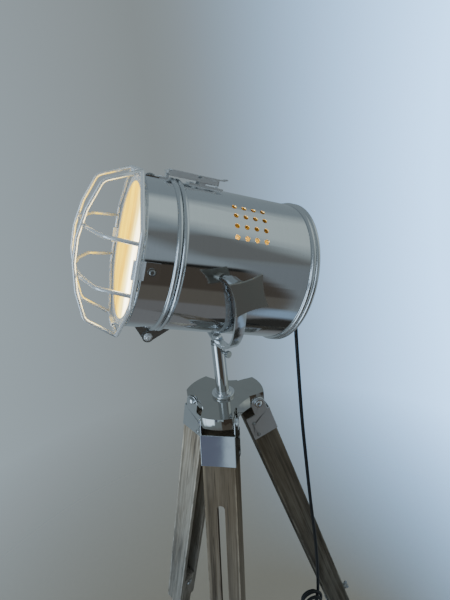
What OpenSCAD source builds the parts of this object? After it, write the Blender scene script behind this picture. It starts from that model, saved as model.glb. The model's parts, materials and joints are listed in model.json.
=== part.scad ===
// Tripod spotlight floor lamp: telescopic wooden tripod, swivelling stem and yoke, tilting
// barrel with a hinged and latched front hood behind a wire guard, and a mains cord.
// Millimetres, +Z up. The origin is on the floor under the stem; the lamp looks along -Y.

/* [Legs] */
// Hinge bolt to floor, measured along a leg
leg_len = 1150; // [1120:5:1180]
// Angle of each leg from the vertical
leg_splay = 15.8; // [14:0.2:17]
// Leg width, across
leg_w = 46; // [45:0.5:47]
// Leg depth, outer face to inner edge
leg_d = 37.7; // [36:0.1:40]
// Hinge bolt axis to the leg's outer face
leg_face = 11.4; // [10:0.1:13]
// Width of the sliding batten
batten_w = 29.4; // [26:0.2:32]
// Depth of the sliding batten
batten_d = 28.2; // [26:0.2:29]
// Hinge bolt to the upper leg's top end
upper_top = 18; // [17:0.5:22]
// Hinge bolt to the upper leg's lower end
upper_end = 640; // [615:5:680]
// Hinge bolt to the closed top of the batten's channel
channel_top = 100; // [90:1:103]
// Wood of the upper leg below the clamp slot
slot_tail = 40; // [30:1:50]
// Slot's lower end to the clamp bolt
clamp_up = 40; // [25:1:44]
// Clamp bolt to the batten's top end
batten_over = 20; // [15:1:30]
// Clamp slot width
slot_w = 11; // [8:0.5:14]
// Hinge bolt to the slot's top end
slot_top = 118.5; // [112:0.5:130]
// Clamp bolt radius
clamp_r = 3; // [2.5:0.1:3.5]
// Rubber under the batten
foot_pad = 4; // [3:0.5:6]
// Height of the rubber boot
foot_h = 16; // [12:1:24]
// Wall of the rubber boot
boot_t = 2.5; // [2:0.5:4]
// Length of the clamp bolt's thread beyond the leg
clamp_out = 13; // [11:0.5:16]
// Thickness of the washers
wash_t = 1.2; // [0.8:0.1:1.6]
// Thickness of the wing nut's wings
wing_t = 2.4; // [2:0.1:3]

/* [Leg brackets] */
// Bracket sheet thickness
bracket_t = 1.6; // [1.2:0.1:2]
// Hinge bolt to the bracket's lower edge
bracket_end = 60; // [57:1:70]
// Hinge bolt to the top of the bracket's front
bracket_front = 15.5; // [15:0.5:18]
// Hinge bolt to the notch below the ears
ear_notch = 17; // [16:0.5:18]
// Radius of a bracket ear
ear_r = 10.6; // [9.5:0.1:11]
// Ear centre, inward of the bolt axis
ear_in = 1.1; // [0:0.1:1.5]
// Ear centre, below the bolt axis
ear_down = 1.6; // [0:0.1:2]
// Nail head radius
nail_head_r = 3.2; // [2.5:0.1:4]
// Nail shank radius
nail_r = 1.2; // [1:0.1:1.5]
// Nail length in the wood
nail_len = 6; // [4:0.5:7]
// Hinge bolt to the upper nail
nail_high = 30; // [26:1:36]
// Hinge bolt to the lower nail
nail_low = 53; // [47:1:53]
// Nails, inward of the bolt axis
nail_in = 18.4; // [17:0.2:21]

/* [Head plate] */
// Hinge bolt axes, from the stem axis
hinge_r = 44.1; // [43:0.1:46]
// Hinge bolt axes, below the plate's top
bolt_drop = 14.3; // [13.5:0.1:15]
// Hinge bolt radius
bolt_r = 4; // [3:0.1:4.5]
// Bolt head radius
bolt_head_r = 6.6; // [6:0.1:7.5]
// Bolt head thickness
bolt_head_h = 2.4; // [2:0.1:3]
// Reach of the plate's three lobes
lobe_r = 59; // [57:0.5:61]
// Plate radius between the lobes
hub_r = 36; // [34:0.5:37]
// Radius of the hollows between the lobes
scallop_r = 69; // [66:1:72]
// Depth of the plate's skirt
skirt_h = 17.5; // [17:0.1:18.5]
// Thickness of the plate's top
plate_t = 5; // [4:0.5:6]
// Radius of the hollow underneath
pocket_r = 28; // [26:0.5:29]
// Radius of the hinge lugs
lug_r = 9; // [8:0.5:10]

/* [Stem] */
// Stem tube radius
stem_r = 9.4; // [9:0.1:10]
// Stem tube wall
stem_wall = 1.4; // [1:0.1:2]
// Top of the stem tube, above the plate
stem_h = 85; // [80:1:88]
// Stem tube below the plate's top
stem_tail = 14; // [13:0.5:16]
// Stem nut radius over its corners
stem_nut_r = 14; // [13:0.5:15]
// Stem nut thickness
stem_nut_h = 7; // [6:0.5:8]
// Collar flange radius
collar_r = 16.5; // [14:0.5:20]
// Collar flange thickness
collar_h = 4.3; // [3:0.1:5]
// Collar neck radius
neck_r = 12.5; // [11.5:0.1:13.5]
// Collar neck height
neck_h = 2.5; // [2:0.1:5]
// Thumb screw, above the plate
thumb_h = 73.5; // [70:0.5:76]
// Thumb screw direction, from +X
thumb_az = 24; // [0:1:45]
// Thumb screw shank radius
thumb_r = 2.2; // [2:0.1:2.8]
// Thumb screw head radius
thumb_head_r = 5; // [4:0.1:6.5]
// Thumb screw head thickness
thumb_head_h = 4; // [3:0.1:6]
// Stem axis to the thumb screw's head
thumb_out = 18; // [16:0.5:22]

/* [Yoke] */
// Air between the barrel and the yoke
yoke_air = 18.6; // [18:0.1:20]
// Bend centre, below the pivot
yoke_drop = 2.7; // [1.5:0.1:4]
// Yoke strip thickness
yoke_t = 3; // [2.5:0.1:3.5]
// Yoke strip width
yoke_w = 12.8; // [12:0.1:15]
// Spigot length inside the stem
spigot_len = 36; // [30:1:50]
// Spigot shoulder height, above the stem tube
shoulder_h = 3.9; // [3.3:0.1:6]
// Spigot shoulder radius
shoulder_r = 9; // [8:0.1:9.4]
// Radius of the spigot's threaded end
thread_r = 4; // [3:0.1:5]
// Yoke nut radius over its corners
yoke_nut_r = 6.6; // [6:0.1:7.5]
// Yoke nut thickness
yoke_nut_h = 5; // [4:0.1:5.5]
// Yoke washer radius
washer_r = 8; // [7.6:0.1:9]
// Yoke washer thickness
washer_t = 1.2; // [1:0.1:1.6]

/* [Barrel] */
// Barrel tilt at rest, nose up
tilt = 18.9; // [16:0.1:21]
// Barrel radius
barrel_r = 90; // [89:0.1:91]
// Sheet thickness of barrel and hood
shell_t = 1.5; // [1.2:0.1:2]
// Rear end, behind the pivot
barrel_back = 105; // [103:1:107]
// Joint between barrel and hood, ahead of the pivot
joint_at = 62.3; // [61:0.1:64]
// Radius of the beads at the joint and the rear rim
bead_r = 3.1; // [2.5:0.1:3.4]
// Gap between barrel and hood
joint_gap = 0.3; // [0.2:0.1:0.5]
// Length of the inner sleeve
sleeve_len = 40; // [30:1:45]
// Reach of the sleeve into the hood
sleeve_in = 8; // [6:0.5:10]
// Wall of the sleeve's front part
sleeve_t = 1.2; // [1:0.1:1.5]
// Air between sleeve and hood
sleeve_gap = 0.6; // [0.5:0.1:0.9]
// Vent hole radius
vent_r = 3.1; // [2:0.1:3.6]
// Vent spacing along the barrel
vent_pitch = 12.1; // [11:0.1:13]
// Vent spacing round the barrel, in degrees
vent_turn = 8.9; // [8:0.1:10]
// Direction of the lowest vent row, from the side
vent_from = 32.1; // [30:0.1:35]
// Rear cap thickness
cap_t = 1.5; // [1:0.1:2]
// Outward step of the cap's middle
pan_step = 1.5; // [1:0.1:3]
// Depth of the cap's flange
cap_flange = 15; // [14:0.5:18]
// Flat margin of the cap round its middle
cap_margin = 12; // [10:0.5:16]
// Cap screw head radius
cap_screw_r = 2.6; // [2:0.1:3]
// Cap screw shank radius
cap_shank_r = 1.5; // [1.2:0.1:1.8]
// Direction of the upper cap screw, from the near side
cap_screw_turn = 100; // [96:1:110]
// Tilt stud radius
stud_r = 4; // [3.5:0.1:4.5]
// Spacer radius
spacer_r = 7; // [6:0.1:8]
// Knob plate centre, out from the yoke
knob_out = 24.4; // [18:0.1:28]
// Knob plate thickness
knob_t = 3.5; // [3:0.1:5]
// Knob corner radius, from its centre
knob_corner = 25.8; // [22:0.1:30]
// Knob side, from its centre
knob_side = 16; // [14:0.1:17]
// Knob hub radius
knob_hub_r = 8.5; // [7:0.1:10]
// Angle of the knob's first corner
knob_turn = 25; // [0:1:89]
// Lamp holder radius
holder_r = 20; // [18:0.5:24]
// Lamp holder length
holder_len = 42; // [38:0.5:48]
// Bulb radius
bulb_r = 30; // [25:0.5:32]
// Bulb's screw base radius
base_r = 13.2; // [13:0.1:13.5]
// Bulb's screw base length
base_len = 24; // [20:0.5:26]
// Bulb length ahead of its base
bulb_len = 84; // [78:1:88]
// Wall of the bulb and its base
bulb_wall = 1.2; // [0.8:0.1:1.5]

/* [Hood and guard] */
// Front face of the hood, ahead of the pivot
hood_front = 105; // [103:0.5:107]
// Reach of the hood's front lip over the lens
lip_w = 7.1; // [5:0.1:10]
// Lens thickness
lens_t = 3.2; // [2.5:0.1:4]
// Thickness of the hood's front lip
lip_t = 1.4; // [1:0.1:2]
// Radius of the front rim beads
rim_r = 1.3; // [1:0.1:1.4]
// Lens ring depth
lens_ring_h = 2.2; // [1.5:0.1:3]
// Hinge bolt, ahead of the pivot
hinge_at = 62; // [61:0.1:63.5]
// Hinge bolt, below the barrel's skin
hinge_drop = 16.3; // [15:0.1:18]
// Rear end of the barrel's hinge leaf, behind the bolt
leaf_behind = 27; // [20:1:30]
// Rear end of the hood's hinge leaf, ahead of the bolt
leaf_ahead = 9; // [8.5:0.5:12]
// Length of the barrel's hinge leaf
leaf_len = 20; // [14:1:22]
// Radius of the hinge ears
hinge_ear_r = 7.5; // [7:0.1:8.5]
// Hinge bolt radius
hinge_bolt_r = 2.5; // [2:0.1:3]
// Hinge sheet thickness
hinge_t = 1.5; // [1.2:0.1:2]
// Half-width between the hood's hinge ears
hinge_half = 5; // [4.5:0.1:6]
// Guard ring plane, ahead of the pivot
ring_at = 107; // [106.8:0.1:110]
// Guard ring's corners, out from the barrel's skin
ring_out = 12; // [11.8:0.1:13]
// Guard ring rod radius
ring_rod = 2.5; // [2.2:0.1:2.6]
// Guard bar rod radius
bar_rod = 2.2; // [2:0.1:2.4]
// Horizontal bars, from the axis
bar_height = 27; // [22:0.5:32]
// Height of the weld at the rods' bends and ends
weld_up = 0.12; // [0.1:0.01:0.14]
// Horizontal bars, behind the vertical ones that they are welded to
bar_nest = 3.5; // [3:0.1:4]
// Tab width
tab_w = 20; // [16:0.5:24]
// Tab sheet thickness
tab_t = 1.5; // [1.2:0.1:1.6]
// Rear edge of the tabs, ahead of the pivot
tab_back = 82; // [80:0.5:84]
// Tab screws, ahead of the pivot
tab_screw_at = 90.6; // [89:0.1:93]
// Tab screw head radius
tab_head_r = 4.6; // [4:0.1:5.5]
// Tab screw shank radius
tab_shank_r = 2; // [1.5:0.1:2.4]
// Hexagon socket radius of the tab screws
socket_r = 1.8; // [1.5:0.1:2]
// Depth of the tabs' fold before the ring
tab_fold = 4; // [3:0.5:6]

/* [Latch] */
// Front end of the latch base, ahead of the pivot
base_front = 46; // [44:0.5:50]
// Rear end of the latch base, ahead of the pivot
base_rear = 3; // [1:0.5:6]
// Rivets, in from the ends of the latch base
rivet_in = 5; // [4.5:0.5:7]
// Rivet shank radius
rivet_r = 1.3; // [1:0.1:1.6]
// Rivet head radius
rivet_head_r = 2.6; // [2:0.1:3]
// Rivet head height
rivet_head_h = 1; // [0.8:0.1:1.4]
// Thickness of the latch base
base_t = 2; // [1.5:0.1:2.4]
// Latch width inside the base's ears
latch_w = 13; // [11:0.5:15]
// Lever pivot, ahead of the barrel's pivot
lever_at = 30; // [28:0.5:32]
// Lever pivot, above the barrel's skin
lever_rise = 7; // [6.5:0.1:8]
// Bail pivot, ahead of the barrel's pivot
bail_at = 15; // [13:0.5:17]
// Lever top, above the barrel's skin
lever_crest = 12.5; // [12:0.1:13.5]
// Latch sheet thickness
latch_t = 1.5; // [1.2:0.1:1.6]
// Roller at the bail's front, ahead of the pivot
roll_at = 71; // [70.5:0.1:72]
// Roller, above the hood's skin
roll_rise = 8.6; // [8.2:0.1:9.4]
// Roller radius
roll_r = 2.2; // [1.8:0.1:2.4]
// Latch pin radius
pin_r = 1.6; // [1.2:0.1:1.8]
// Catch length along the hood
catch_len = 11; // [9:0.1:11.3]
// Catch sheet thickness
catch_t = 1.8; // [1.2:0.1:2]
// Catch width
catch_w = 14; // [12:0.5:18]

/* [Cord] */
// Cord diameter
cord_d = 5.5; // [5:0.1:5.7]
// Cord gland, below the cap's centre
gland_low = 45; // [42:0.5:47]
// Gland nut radius over its corners
gland_r = 9; // [8:0.1:11]
// Gland nut depth
gland_h = 5; // [4:0.1:7]
// Length of the tapered strain relief
relief_len = 16; // [14:0.5:18]
// Strain relief radius at its root
relief_r = 6; // [5:0.1:7]
// Plug body width
plug_w = 35; // [30:1:40]
// Plug body depth
plug_d = 14; // [12:0.5:17]
// Plug body length
plug_len = 36; // [30:1:42]
// Length of the plug's tapered sleeve
plug_sleeve = 20; // [14:1:24]
// Plug pin radius
pin_rad = 2; // [1.9:0.1:2.4]
// Plug pin length
pin_len = 19; // [15:0.5:20]
// Depth of the pins' roots in the plug
pin_root = 7; // [5:0.5:10]
// Spacing of the plug's pins
pin_gap = 18.6; // [17:0.1:19.5]

/* [Fits] */
// Radial clearance of a hinge or shaft that turns
run_gap = 0.05; // [0.02:0.01:0.1]
// Radial clearance of a fixed screw or pin in its hole
fit_gap = 0.1; // [0.05:0.01:0.2]
// Clearance between flat faces that move past each other
side_gap = 0.3; // [0.2:0.05:0.4]

/* [Hidden] */
$fn = 72;
// Facets of the large round faces that thin sheets lie on
fine = 288;
// Start of cuts and pieces, inside the round sheet that they pass or lie on
sunk = 3;
chrome = [0.80, 0.82, 0.84];
steel = [0.62, 0.63, 0.65];
wood = [0.47, 0.41, 0.34];
batten_wood = [0.55, 0.49, 0.41];
rubber = [0.08, 0.08, 0.08];
glow = [0.98, 0.86, 0.55];

front_az = 330;
left_az = 210;
rear_az = 90;
leg_azimuths = [front_az, left_az, rear_az];

plate_z = leg_len * cos(leg_splay) + bolt_drop;
shoulder_top = plate_z + stem_h + shoulder_h;
yoke_in = barrel_r + yoke_air;
yoke_r = yoke_in + yoke_t;
yoke_seat = shoulder_top + yoke_t;
pivot_z = shoulder_top + yoke_r + yoke_drop;
leg_inner = leg_face - leg_d;
slot_end = upper_end - slot_tail;
clamp_at = slot_end - clamp_up;
batten_top = clamp_at - batten_over;
channel_w = batten_w + 2 * side_gap;
channel_floor = leg_inner + batten_d + side_gap;
lug_w = leg_w - 2 * side_gap;
ear_out = leg_w / 2 + bracket_t;
stem_bore = stem_r - stem_wall;
spigot_r = stem_bore - run_gap;
shell_in = barrel_r - shell_t;
hood_back = joint_at + joint_gap;
lens_view_r = shell_in - lip_w;
hinge_low = barrel_r + hinge_drop;
ring_corner = barrel_r + ring_out;
ring_flat = ring_corner * cos(22.5);
bar_side = ring_corner * sin(22.5);
lever_up = barrel_r + lever_rise;
lever_top = barrel_r + lever_crest;
roll_up = barrel_r + roll_rise;
knob_at = yoke_r + knob_out;
cap_screw_at = 3 * bead_r + cap_screw_r + side_gap;
cap_screw_hole = cap_shank_r + fit_gap;
tab_screw_hole = tab_shank_r + fit_gap;
rivet_hole = rivet_r + fit_gap;
rivets_at = [base_rear + rivet_in, base_front - rivet_in];
lens_front = hood_front - lip_t;
lens_back = lens_front - lens_t;
cap_back = barrel_back - 1;
pan_r = shell_in - cap_margin;
pan_face = cap_back + pan_step;
cap_inner = pan_face - cap_t;
relief_end = pan_face + gland_h + relief_len;
cord_r = cord_d / 2;

// Cord route, in real coordinates, from the strain relief down beside the rear leg
upper_route = [[0, 109, 1239], [0, 114.5, 1235], [0.5, 118.4, 1229], [1, 120.4, 1220],
  [1.5, 121, 1206], [2, 121, 1186]];
lower_route = [[2, 121, 1186], [6, 121, 1121], [12, 121, 1041], [20, 122, 961], [27, 124, 881],
  [31, 127, 821], [33, 129.5, 771], [34, 131, 711]];
// Hank: strap-shaped loops hung in a vertical plane, tied at the waist
hank_x = 34;
hank_y = 111.8;
hank_z = 602;
hank_run = 52;
hank_w = 20;
hank_step = 6.2;
hank_waist = 0.5;
hank_from = 0.125;
hank_to = 3.375;
hank_rings = 24;
tail_len = 96;

// ---- shared forms ----

module at_legs() { for (az = leg_azimuths) rotate([0, 0, az]) children(); }

// Leg frame: x outward across the leg, y across its width, -z down along it from the bolt
module on_leg(az) {
  rotate([0, 0, az]) translate([hinge_r, 0, plate_z - bolt_drop])
    rotate([0, -leg_splay, 0]) children();
}

// Barrel frame: x to the near side, y up, z forward from the pivot
module on_barrel() { translate([0, 0, pivot_z]) rotate([90 - tilt, 0, 0]) children(); }

module tube(r_out, r_in, h) {
  difference() {
    cylinder(r = r_out, h = h);
    translate([0, 0, -1]) cylinder(r = r_in, h = h + 2);
  }
}

module along_x(r, from, to) { translate([from, 0, 0]) rotate([0, 90, 0]) cylinder(r = r, h = to - from); }
module along_y(r, from, to) { translate([0, to, 0]) rotate([90, 0, 0]) cylinder(r = r, h = to - from); }

module bead(at, ring, r) { translate([0, 0, at]) rotate_extrude() translate([ring, 0]) circle(r = r); }

module rod(a, b, r) {
  d = b - a;
  len = norm(d);
  translate(a) rotate([0, acos(d[2] / len), atan2(d[1], d[0])]) cylinder(r = r, h = len);
}

// Bent rod through the points, with a small blob of weld at each
module wire(points, r) {
  for (i = [0 : len(points) - 2]) rod(points[i], points[i + 1], r);
  for (p = points) translate(p) sphere(r = r + weld_up);
}

module floor_block(h) { translate([-700, -700, h - 400]) cube([1400, 1400, 400]); }

// Cap with a domed end, growing along +z from its seat
module domed(r, h, dome) {
  cylinder(r = r, h = h);
  intersection() {
    translate([0, 0, h]) cylinder(r = r - 0.6, h = dome);
    translate([0, 0, h + dome - 1.25 * r]) sphere(r = 1.25 * r);
  }
}

// ---- tripod head ----

module head_plate() color(chrome) difference() {
  union() {
    difference() {
      translate([0, 0, plate_z - skirt_h]) cylinder(r = lobe_r, h = skirt_h);
      at_legs() rotate([0, 0, 60]) translate([hub_r + scallop_r, 0, plate_z - skirt_h - 1])
        cylinder(r = scallop_r, h = skirt_h + 2);
      translate([0, 0, plate_z - skirt_h - 1]) cylinder(r = pocket_r, h = skirt_h - plate_t + 1);
    }
    at_legs() translate([hinge_r, 0, plate_z - bolt_drop]) along_y(lug_r, -lug_w / 2, lug_w / 2);
  }
  at_legs() translate([hinge_r, 0, plate_z - bolt_drop]) {
    along_y(bolt_r + fit_gap, -lug_w, lug_w);
    for (side = [-1, 1]) translate([-ear_r - ear_in - 1, side > 0 ? lug_w / 2 : -lug_w, -lug_r])
      cube([lobe_r, lug_w / 2, skirt_h + lug_r]);
  }
  translate([0, 0, plate_z - skirt_h]) cylinder(r = stem_r + fit_gap, h = skirt_h + 1);
}

module leg_bolts() color(chrome) at_legs() translate([hinge_r, 0, plate_z - bolt_drop]) {
  along_y(bolt_r, -ear_out - side_gap, ear_out + side_gap);
  for (side = [-1, 1]) translate([0, side * (ear_out + side_gap), 0]) rotate([-90 * side, 0, 0])
    domed(bolt_head_r, bolt_head_h, 1.6);
}

module stem_collar() color(chrome) translate([0, 0, plate_z]) difference() {
  union() {
    cylinder(r = collar_r, h = collar_h);
    cylinder(r = neck_r, h = collar_h + neck_h);
  }
  translate([0, 0, -1]) cylinder(r = stem_r + fit_gap, h = collar_h + neck_h + 2);
}

module stem_tube() color(chrome) difference() {
  translate([0, 0, plate_z - stem_tail]) tube(stem_r, stem_bore, stem_h + stem_tail);
  translate([0, 0, plate_z + thumb_h]) rotate([0, 0, thumb_az])
    along_x(thumb_r + run_gap, 0, 2 * stem_r);
}

module stem_nut() color(steel) translate([0, 0, plate_z - plate_t - stem_nut_h]) difference() {
  cylinder(r = stem_nut_r, h = stem_nut_h, $fn = 6);
  translate([0, 0, -1]) cylinder(r = stem_r + fit_gap, h = stem_nut_h + 2);
}

module thumb_screw() color(chrome)
  translate([0, 0, plate_z + thumb_h]) rotate([0, 0, thumb_az]) difference() {
    union() {
      along_x(thumb_r, spigot_r + side_gap, thumb_out);
      along_x(thumb_head_r, thumb_out, thumb_out + thumb_head_h);
      along_x(0.6 * thumb_head_r, thumb_out - 1.5, thumb_out);
    }
    for (a = [0 : 30 : 330]) rotate([a, 0, 0]) translate([0, thumb_head_r + 0.35, 0])
      along_x(0.8, thumb_out - 1, thumb_out + thumb_head_h + 1);
  }

// ---- legs ----

module bracket(az) on_leg(az) color(chrome) difference() {
  union() {
    translate([leg_inner, -ear_out, -bracket_end])
      cube([leg_d + bracket_t, 2 * ear_out, bracket_end - ear_notch]);
    translate([leg_face, -ear_out, -bracket_end])
      cube([bracket_t, 2 * ear_out, bracket_end - bracket_front]);
    translate([-ear_in, 0, -ear_down]) along_y(ear_r, -ear_out, ear_out);
    translate([-ear_in - ear_r, -ear_out, -ear_notch - 1])
      cube([2 * ear_r, 2 * ear_out, ear_notch + 1 - ear_down]);
  }
  translate([-leg_d, -leg_w / 2, -bracket_end - 1])
    cube([leg_d + leg_face, leg_w, bracket_end + 1 + 2 * ear_r]);
  along_y(bolt_r + run_gap, -2 * ear_out, 2 * ear_out);
  nail_holes();
}

module at_nails() {
  for (l = [nail_high, nail_low], side = [-1, 1])
    translate([-nail_in, side * leg_w / 2, -l]) rotate([-90 * side, 0, 0]) children();
}

module nail_holes() {
  at_nails() translate([0, 0, -nail_len]) cylinder(r = nail_r + fit_gap, h = 2 * nail_len);
}

module nails(az) on_leg(az) color(steel) at_nails() {
  translate([0, 0, -nail_len]) cylinder(r = nail_r, h = nail_len + bracket_t);
  translate([0, 0, bracket_t]) domed(nail_head_r, 0.5, 0.6);
}

module upper_leg(az) on_leg(az) color(wood) difference() {
  translate([leg_inner, -leg_w / 2, -upper_end]) cube([leg_d, leg_w, upper_end - upper_top]);
  translate([leg_inner - 1, -channel_w / 2, -upper_end - 1])
    cube([channel_floor - leg_inner + 1, channel_w, upper_end + 1 - channel_top]);
  translate([0, -slot_w / 2, -slot_end + slot_w / 2])
    cube([leg_d, slot_w, slot_end - slot_top - slot_w]);
  for (l = [slot_top + slot_w / 2, slot_end - slot_w / 2])
    translate([0, 0, -l]) along_x(slot_w / 2, 0, leg_d);
  nail_holes();
}

module batten_bar(grow, from) {
  translate([leg_inner - grow, -batten_w / 2 - grow, -leg_len - leg_d])
    cube([batten_d + 2 * grow, batten_w + 2 * grow, leg_len + leg_d - from]);
}

module lower_leg(az) color(batten_wood) difference() {
  on_leg(az) difference() {
    batten_bar(0, batten_top);
    translate([0, 0, -clamp_at]) along_x(clamp_r + fit_gap, -leg_d, leg_d);
  }
  floor_block(foot_pad);
}

module foot(az) color(rubber) difference() {
  on_leg(az) batten_bar(boot_t, leg_len - 4 * foot_h);
  floor_block(0);
  translate([0, 0, foot_h + 400]) floor_block(0);
  difference() {
    on_leg(az) batten_bar(0, leg_len - 5 * foot_h);
    floor_block(foot_pad);
  }
}

module clamp_bolt(az) on_leg(az) color(steel) translate([0, 0, -clamp_at]) {
  along_x(clamp_r, leg_inner, leg_face + clamp_out);
  translate([leg_inner - clamp_r, 0, 0]) rotate([0, 90, 0]) domed(2 * clamp_r, clamp_r, 0.1);
  translate([leg_face + side_gap, 0, 0]) rotate([0, 90, 0]) tube(2.6 * clamp_r, clamp_r + fit_gap, wash_t);
}

module wing_nut(az) on_leg(az) color(steel)
  translate([leg_face + wash_t + 2 * side_gap, 0, -clamp_at]) difference() {
    union() {
      along_x(1.75 * clamp_r, 0, 7);
      for (side = [-1, 1]) {
        translate([3, -wing_t / 2, side > 0 ? clamp_r : -3.2 * clamp_r]) cube([6, wing_t, 2.2 * clamp_r]);
        translate([9, 0, side * 2.9 * clamp_r]) along_y(3.2, -wing_t / 2, wing_t / 2);
      }
    }
    along_x(clamp_r + run_gap, -1, 20);
  }

module front_bracket() bracket(front_az);
module front_nails() nails(front_az);
module front_upper_leg() upper_leg(front_az);
module front_lower_leg() lower_leg(front_az);
module front_foot() foot(front_az);
module front_clamp_bolt() clamp_bolt(front_az);
module front_wing_nut() wing_nut(front_az);
module left_bracket() bracket(left_az);
module left_nails() nails(left_az);
module left_upper_leg() upper_leg(left_az);
module left_lower_leg() lower_leg(left_az);
module left_foot() foot(left_az);
module left_clamp_bolt() clamp_bolt(left_az);
module left_wing_nut() wing_nut(left_az);
module rear_bracket() bracket(rear_az);
module rear_nails() nails(rear_az);
module rear_upper_leg() upper_leg(rear_az);
module rear_lower_leg() lower_leg(rear_az);
module rear_foot() foot(rear_az);
module rear_clamp_bolt() clamp_bolt(rear_az);
module rear_wing_nut() wing_nut(rear_az);

// ---- yoke ----

module yoke_strip() color(chrome) difference() {
  translate([0, 0, pivot_z]) {
    translate([0, 0, -yoke_drop]) difference() {
      along_y(yoke_r, -yoke_w / 2, yoke_w / 2);
      along_y(yoke_in, -yoke_w, yoke_w);
      translate([-2 * yoke_r, -yoke_w, 0]) cube([4 * yoke_r, 2 * yoke_w, 2 * yoke_r]);
    }
    for (side = [-1, 1]) {
      translate([side > 0 ? yoke_in : -yoke_r, -yoke_w / 2, -yoke_drop]) cube([yoke_t, yoke_w, yoke_drop]);
      along_x(yoke_w / 2, side > 0 ? yoke_in : -yoke_r, side > 0 ? yoke_r : -yoke_in);
    }
  }
  translate([0, 0, pivot_z]) along_x(stud_r + run_gap, -2 * yoke_r, 2 * yoke_r);
  translate([0, 0, shoulder_top - 2]) cylinder(r = thread_r + fit_gap, h = 2 * yoke_t + 2);
}

module yoke_spigot() color(steel) {
  translate([0, 0, plate_z + stem_h - spigot_len]) cylinder(r = spigot_r, h = spigot_len + side_gap);
  difference() {
    translate([0, 0, plate_z + stem_h + side_gap])
      cylinder(r = shoulder_r, h = yoke_seat - plate_z - stem_h - side_gap);
    translate([0, 0, pivot_z - yoke_drop]) along_y(yoke_r, -2 * yoke_w, 2 * yoke_w);
  }
  translate([0, 0, plate_z + stem_h])
    cylinder(r = thread_r, h = yoke_seat + washer_t + yoke_nut_h - plate_z - stem_h);
}

module yoke_nut() color(chrome) difference() {
  union() {
    translate([0, 0, yoke_seat - 1]) cylinder(r = washer_r, h = washer_t + 1);
    translate([0, 0, yoke_seat + washer_t]) cylinder(r = yoke_nut_r, h = yoke_nut_h, $fn = 6);
  }
  translate([0, 0, pivot_z - yoke_drop]) difference() {
    along_y(yoke_r + 10, -2 * yoke_w, 2 * yoke_w);
    along_y(yoke_in, -3 * yoke_w, 3 * yoke_w, $fn = fine);
  }
  translate([0, 0, shoulder_top]) cylinder(r = thread_r + fit_gap, h = 30);
}

// ---- barrel ----

// Solid outside of the barrel, used to seat what lies on it
module barrel_form() {
  translate([0, 0, -barrel_back]) cylinder(r = barrel_r, h = barrel_back + joint_at, $fn = fine);
  bead(joint_at - bead_r, barrel_r, bead_r, $fn = fine / 2);
}

module hood_form() {
  translate([0, 0, hood_back]) cylinder(r = barrel_r, h = hood_front - hood_back, $fn = fine);
  bead(hood_back + bead_r, barrel_r, bead_r, $fn = fine / 2);
  for (at = [hood_front - rim_r, hood_front - 3.2 * rim_r]) bead(at, barrel_r - 0.3, rim_r, $fn = fine / 2);
}

module vent_holes() {
  for (side = [0, 1], row = [0 : 3], i = [0 : 3]) mirror([side, 0, 0])
    rotate([0, 0, vent_from + vent_turn * row])
      translate([0, 0, -vent_pitch * i]) along_x(vent_r, shell_in - sunk, barrel_r + sunk);
}

module at_cap_screws() {
  for (a = [0, 180]) rotate([0, 0, cap_screw_turn + a])
    translate([0, 0, -barrel_back + cap_screw_at]) children();
}

module barrel_shell() color(chrome) on_barrel() difference() {
  union() {
    barrel_form();
    for (at = [0, 2 * bead_r]) bead(at - barrel_back, barrel_r, bead_r);
  }
  translate([0, 0, -barrel_back - 10]) cylinder(r = shell_in, h = barrel_back + joint_at + 20, $fn = fine);
  vent_holes();
  along_x(stud_r + fit_gap, -barrel_r - sunk, barrel_r + sunk);
  at_cap_screws() along_x(cap_screw_hole, shell_in - sunk, barrel_r + sunk);
  for (z = rivets_at) translate([0, 0, z]) along_y(rivet_hole, shell_in - sunk, barrel_r + sunk);
}

module joint_sleeve() color(steel) on_barrel() difference() {
  union() {
    translate([0, 0, joint_at + sleeve_in - sleeve_len])
      cylinder(r = shell_in - fit_gap, h = sleeve_len - sleeve_in - 2);
    translate([0, 0, joint_at + sleeve_in - sleeve_len]) cylinder(r = shell_in - sleeve_gap, h = sleeve_len);
  }
  translate([0, 0, joint_at - sleeve_len]) cylinder(r = shell_in - sleeve_gap - sleeve_t, h = 2 * sleeve_len);
  translate([0, 0, rivets_at[1]]) along_y(rivet_hole, shell_in - 3 * sunk, barrel_r);
}

module rear_cap() color(chrome) on_barrel() difference() {
  union() {
    translate([0, 0, -cap_back]) cylinder(r = shell_in - fit_gap, h = cap_flange);
    translate([0, 0, -pan_face]) cylinder(r = pan_r, h = pan_step + 1);
  }
  translate([0, 0, -cap_back + cap_t]) cylinder(r = shell_in - fit_gap - cap_t, h = cap_flange);
  translate([0, 0, -cap_inner]) cylinder(r = pan_r - cap_t, h = cap_flange);
  translate([0, -gland_low, -cap_back - 5]) cylinder(r = relief_r + fit_gap, h = 20);
  at_cap_screws() along_x(cap_screw_hole, shell_in - 3 * sunk, barrel_r);
}

module cap_screws() color(steel) on_barrel() at_cap_screws() {
  along_x(cap_shank_r, shell_in - 4, barrel_r);
  difference() {
    translate([barrel_r - 0.5, 0, 0]) rotate([0, 90, 0]) domed(cap_screw_r, 1.2, 0.7);
    translate([0, 0, -2 * cap_screw_r]) cylinder(r = barrel_r, h = 4 * cap_screw_r);
  }
}

module tilt_studs() color(steel) on_barrel() for (side = [0, 1]) mirror([side, 0, 0]) {
  along_x(stud_r, shell_in - 6, knob_at + knob_t / 2 - 1);
  translate([shell_in - 2 * stud_r, 0, 0]) rotate([0, 90, 0]) cylinder(r = 1.7 * stud_r, h = stud_r, $fn = 6);
}

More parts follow.
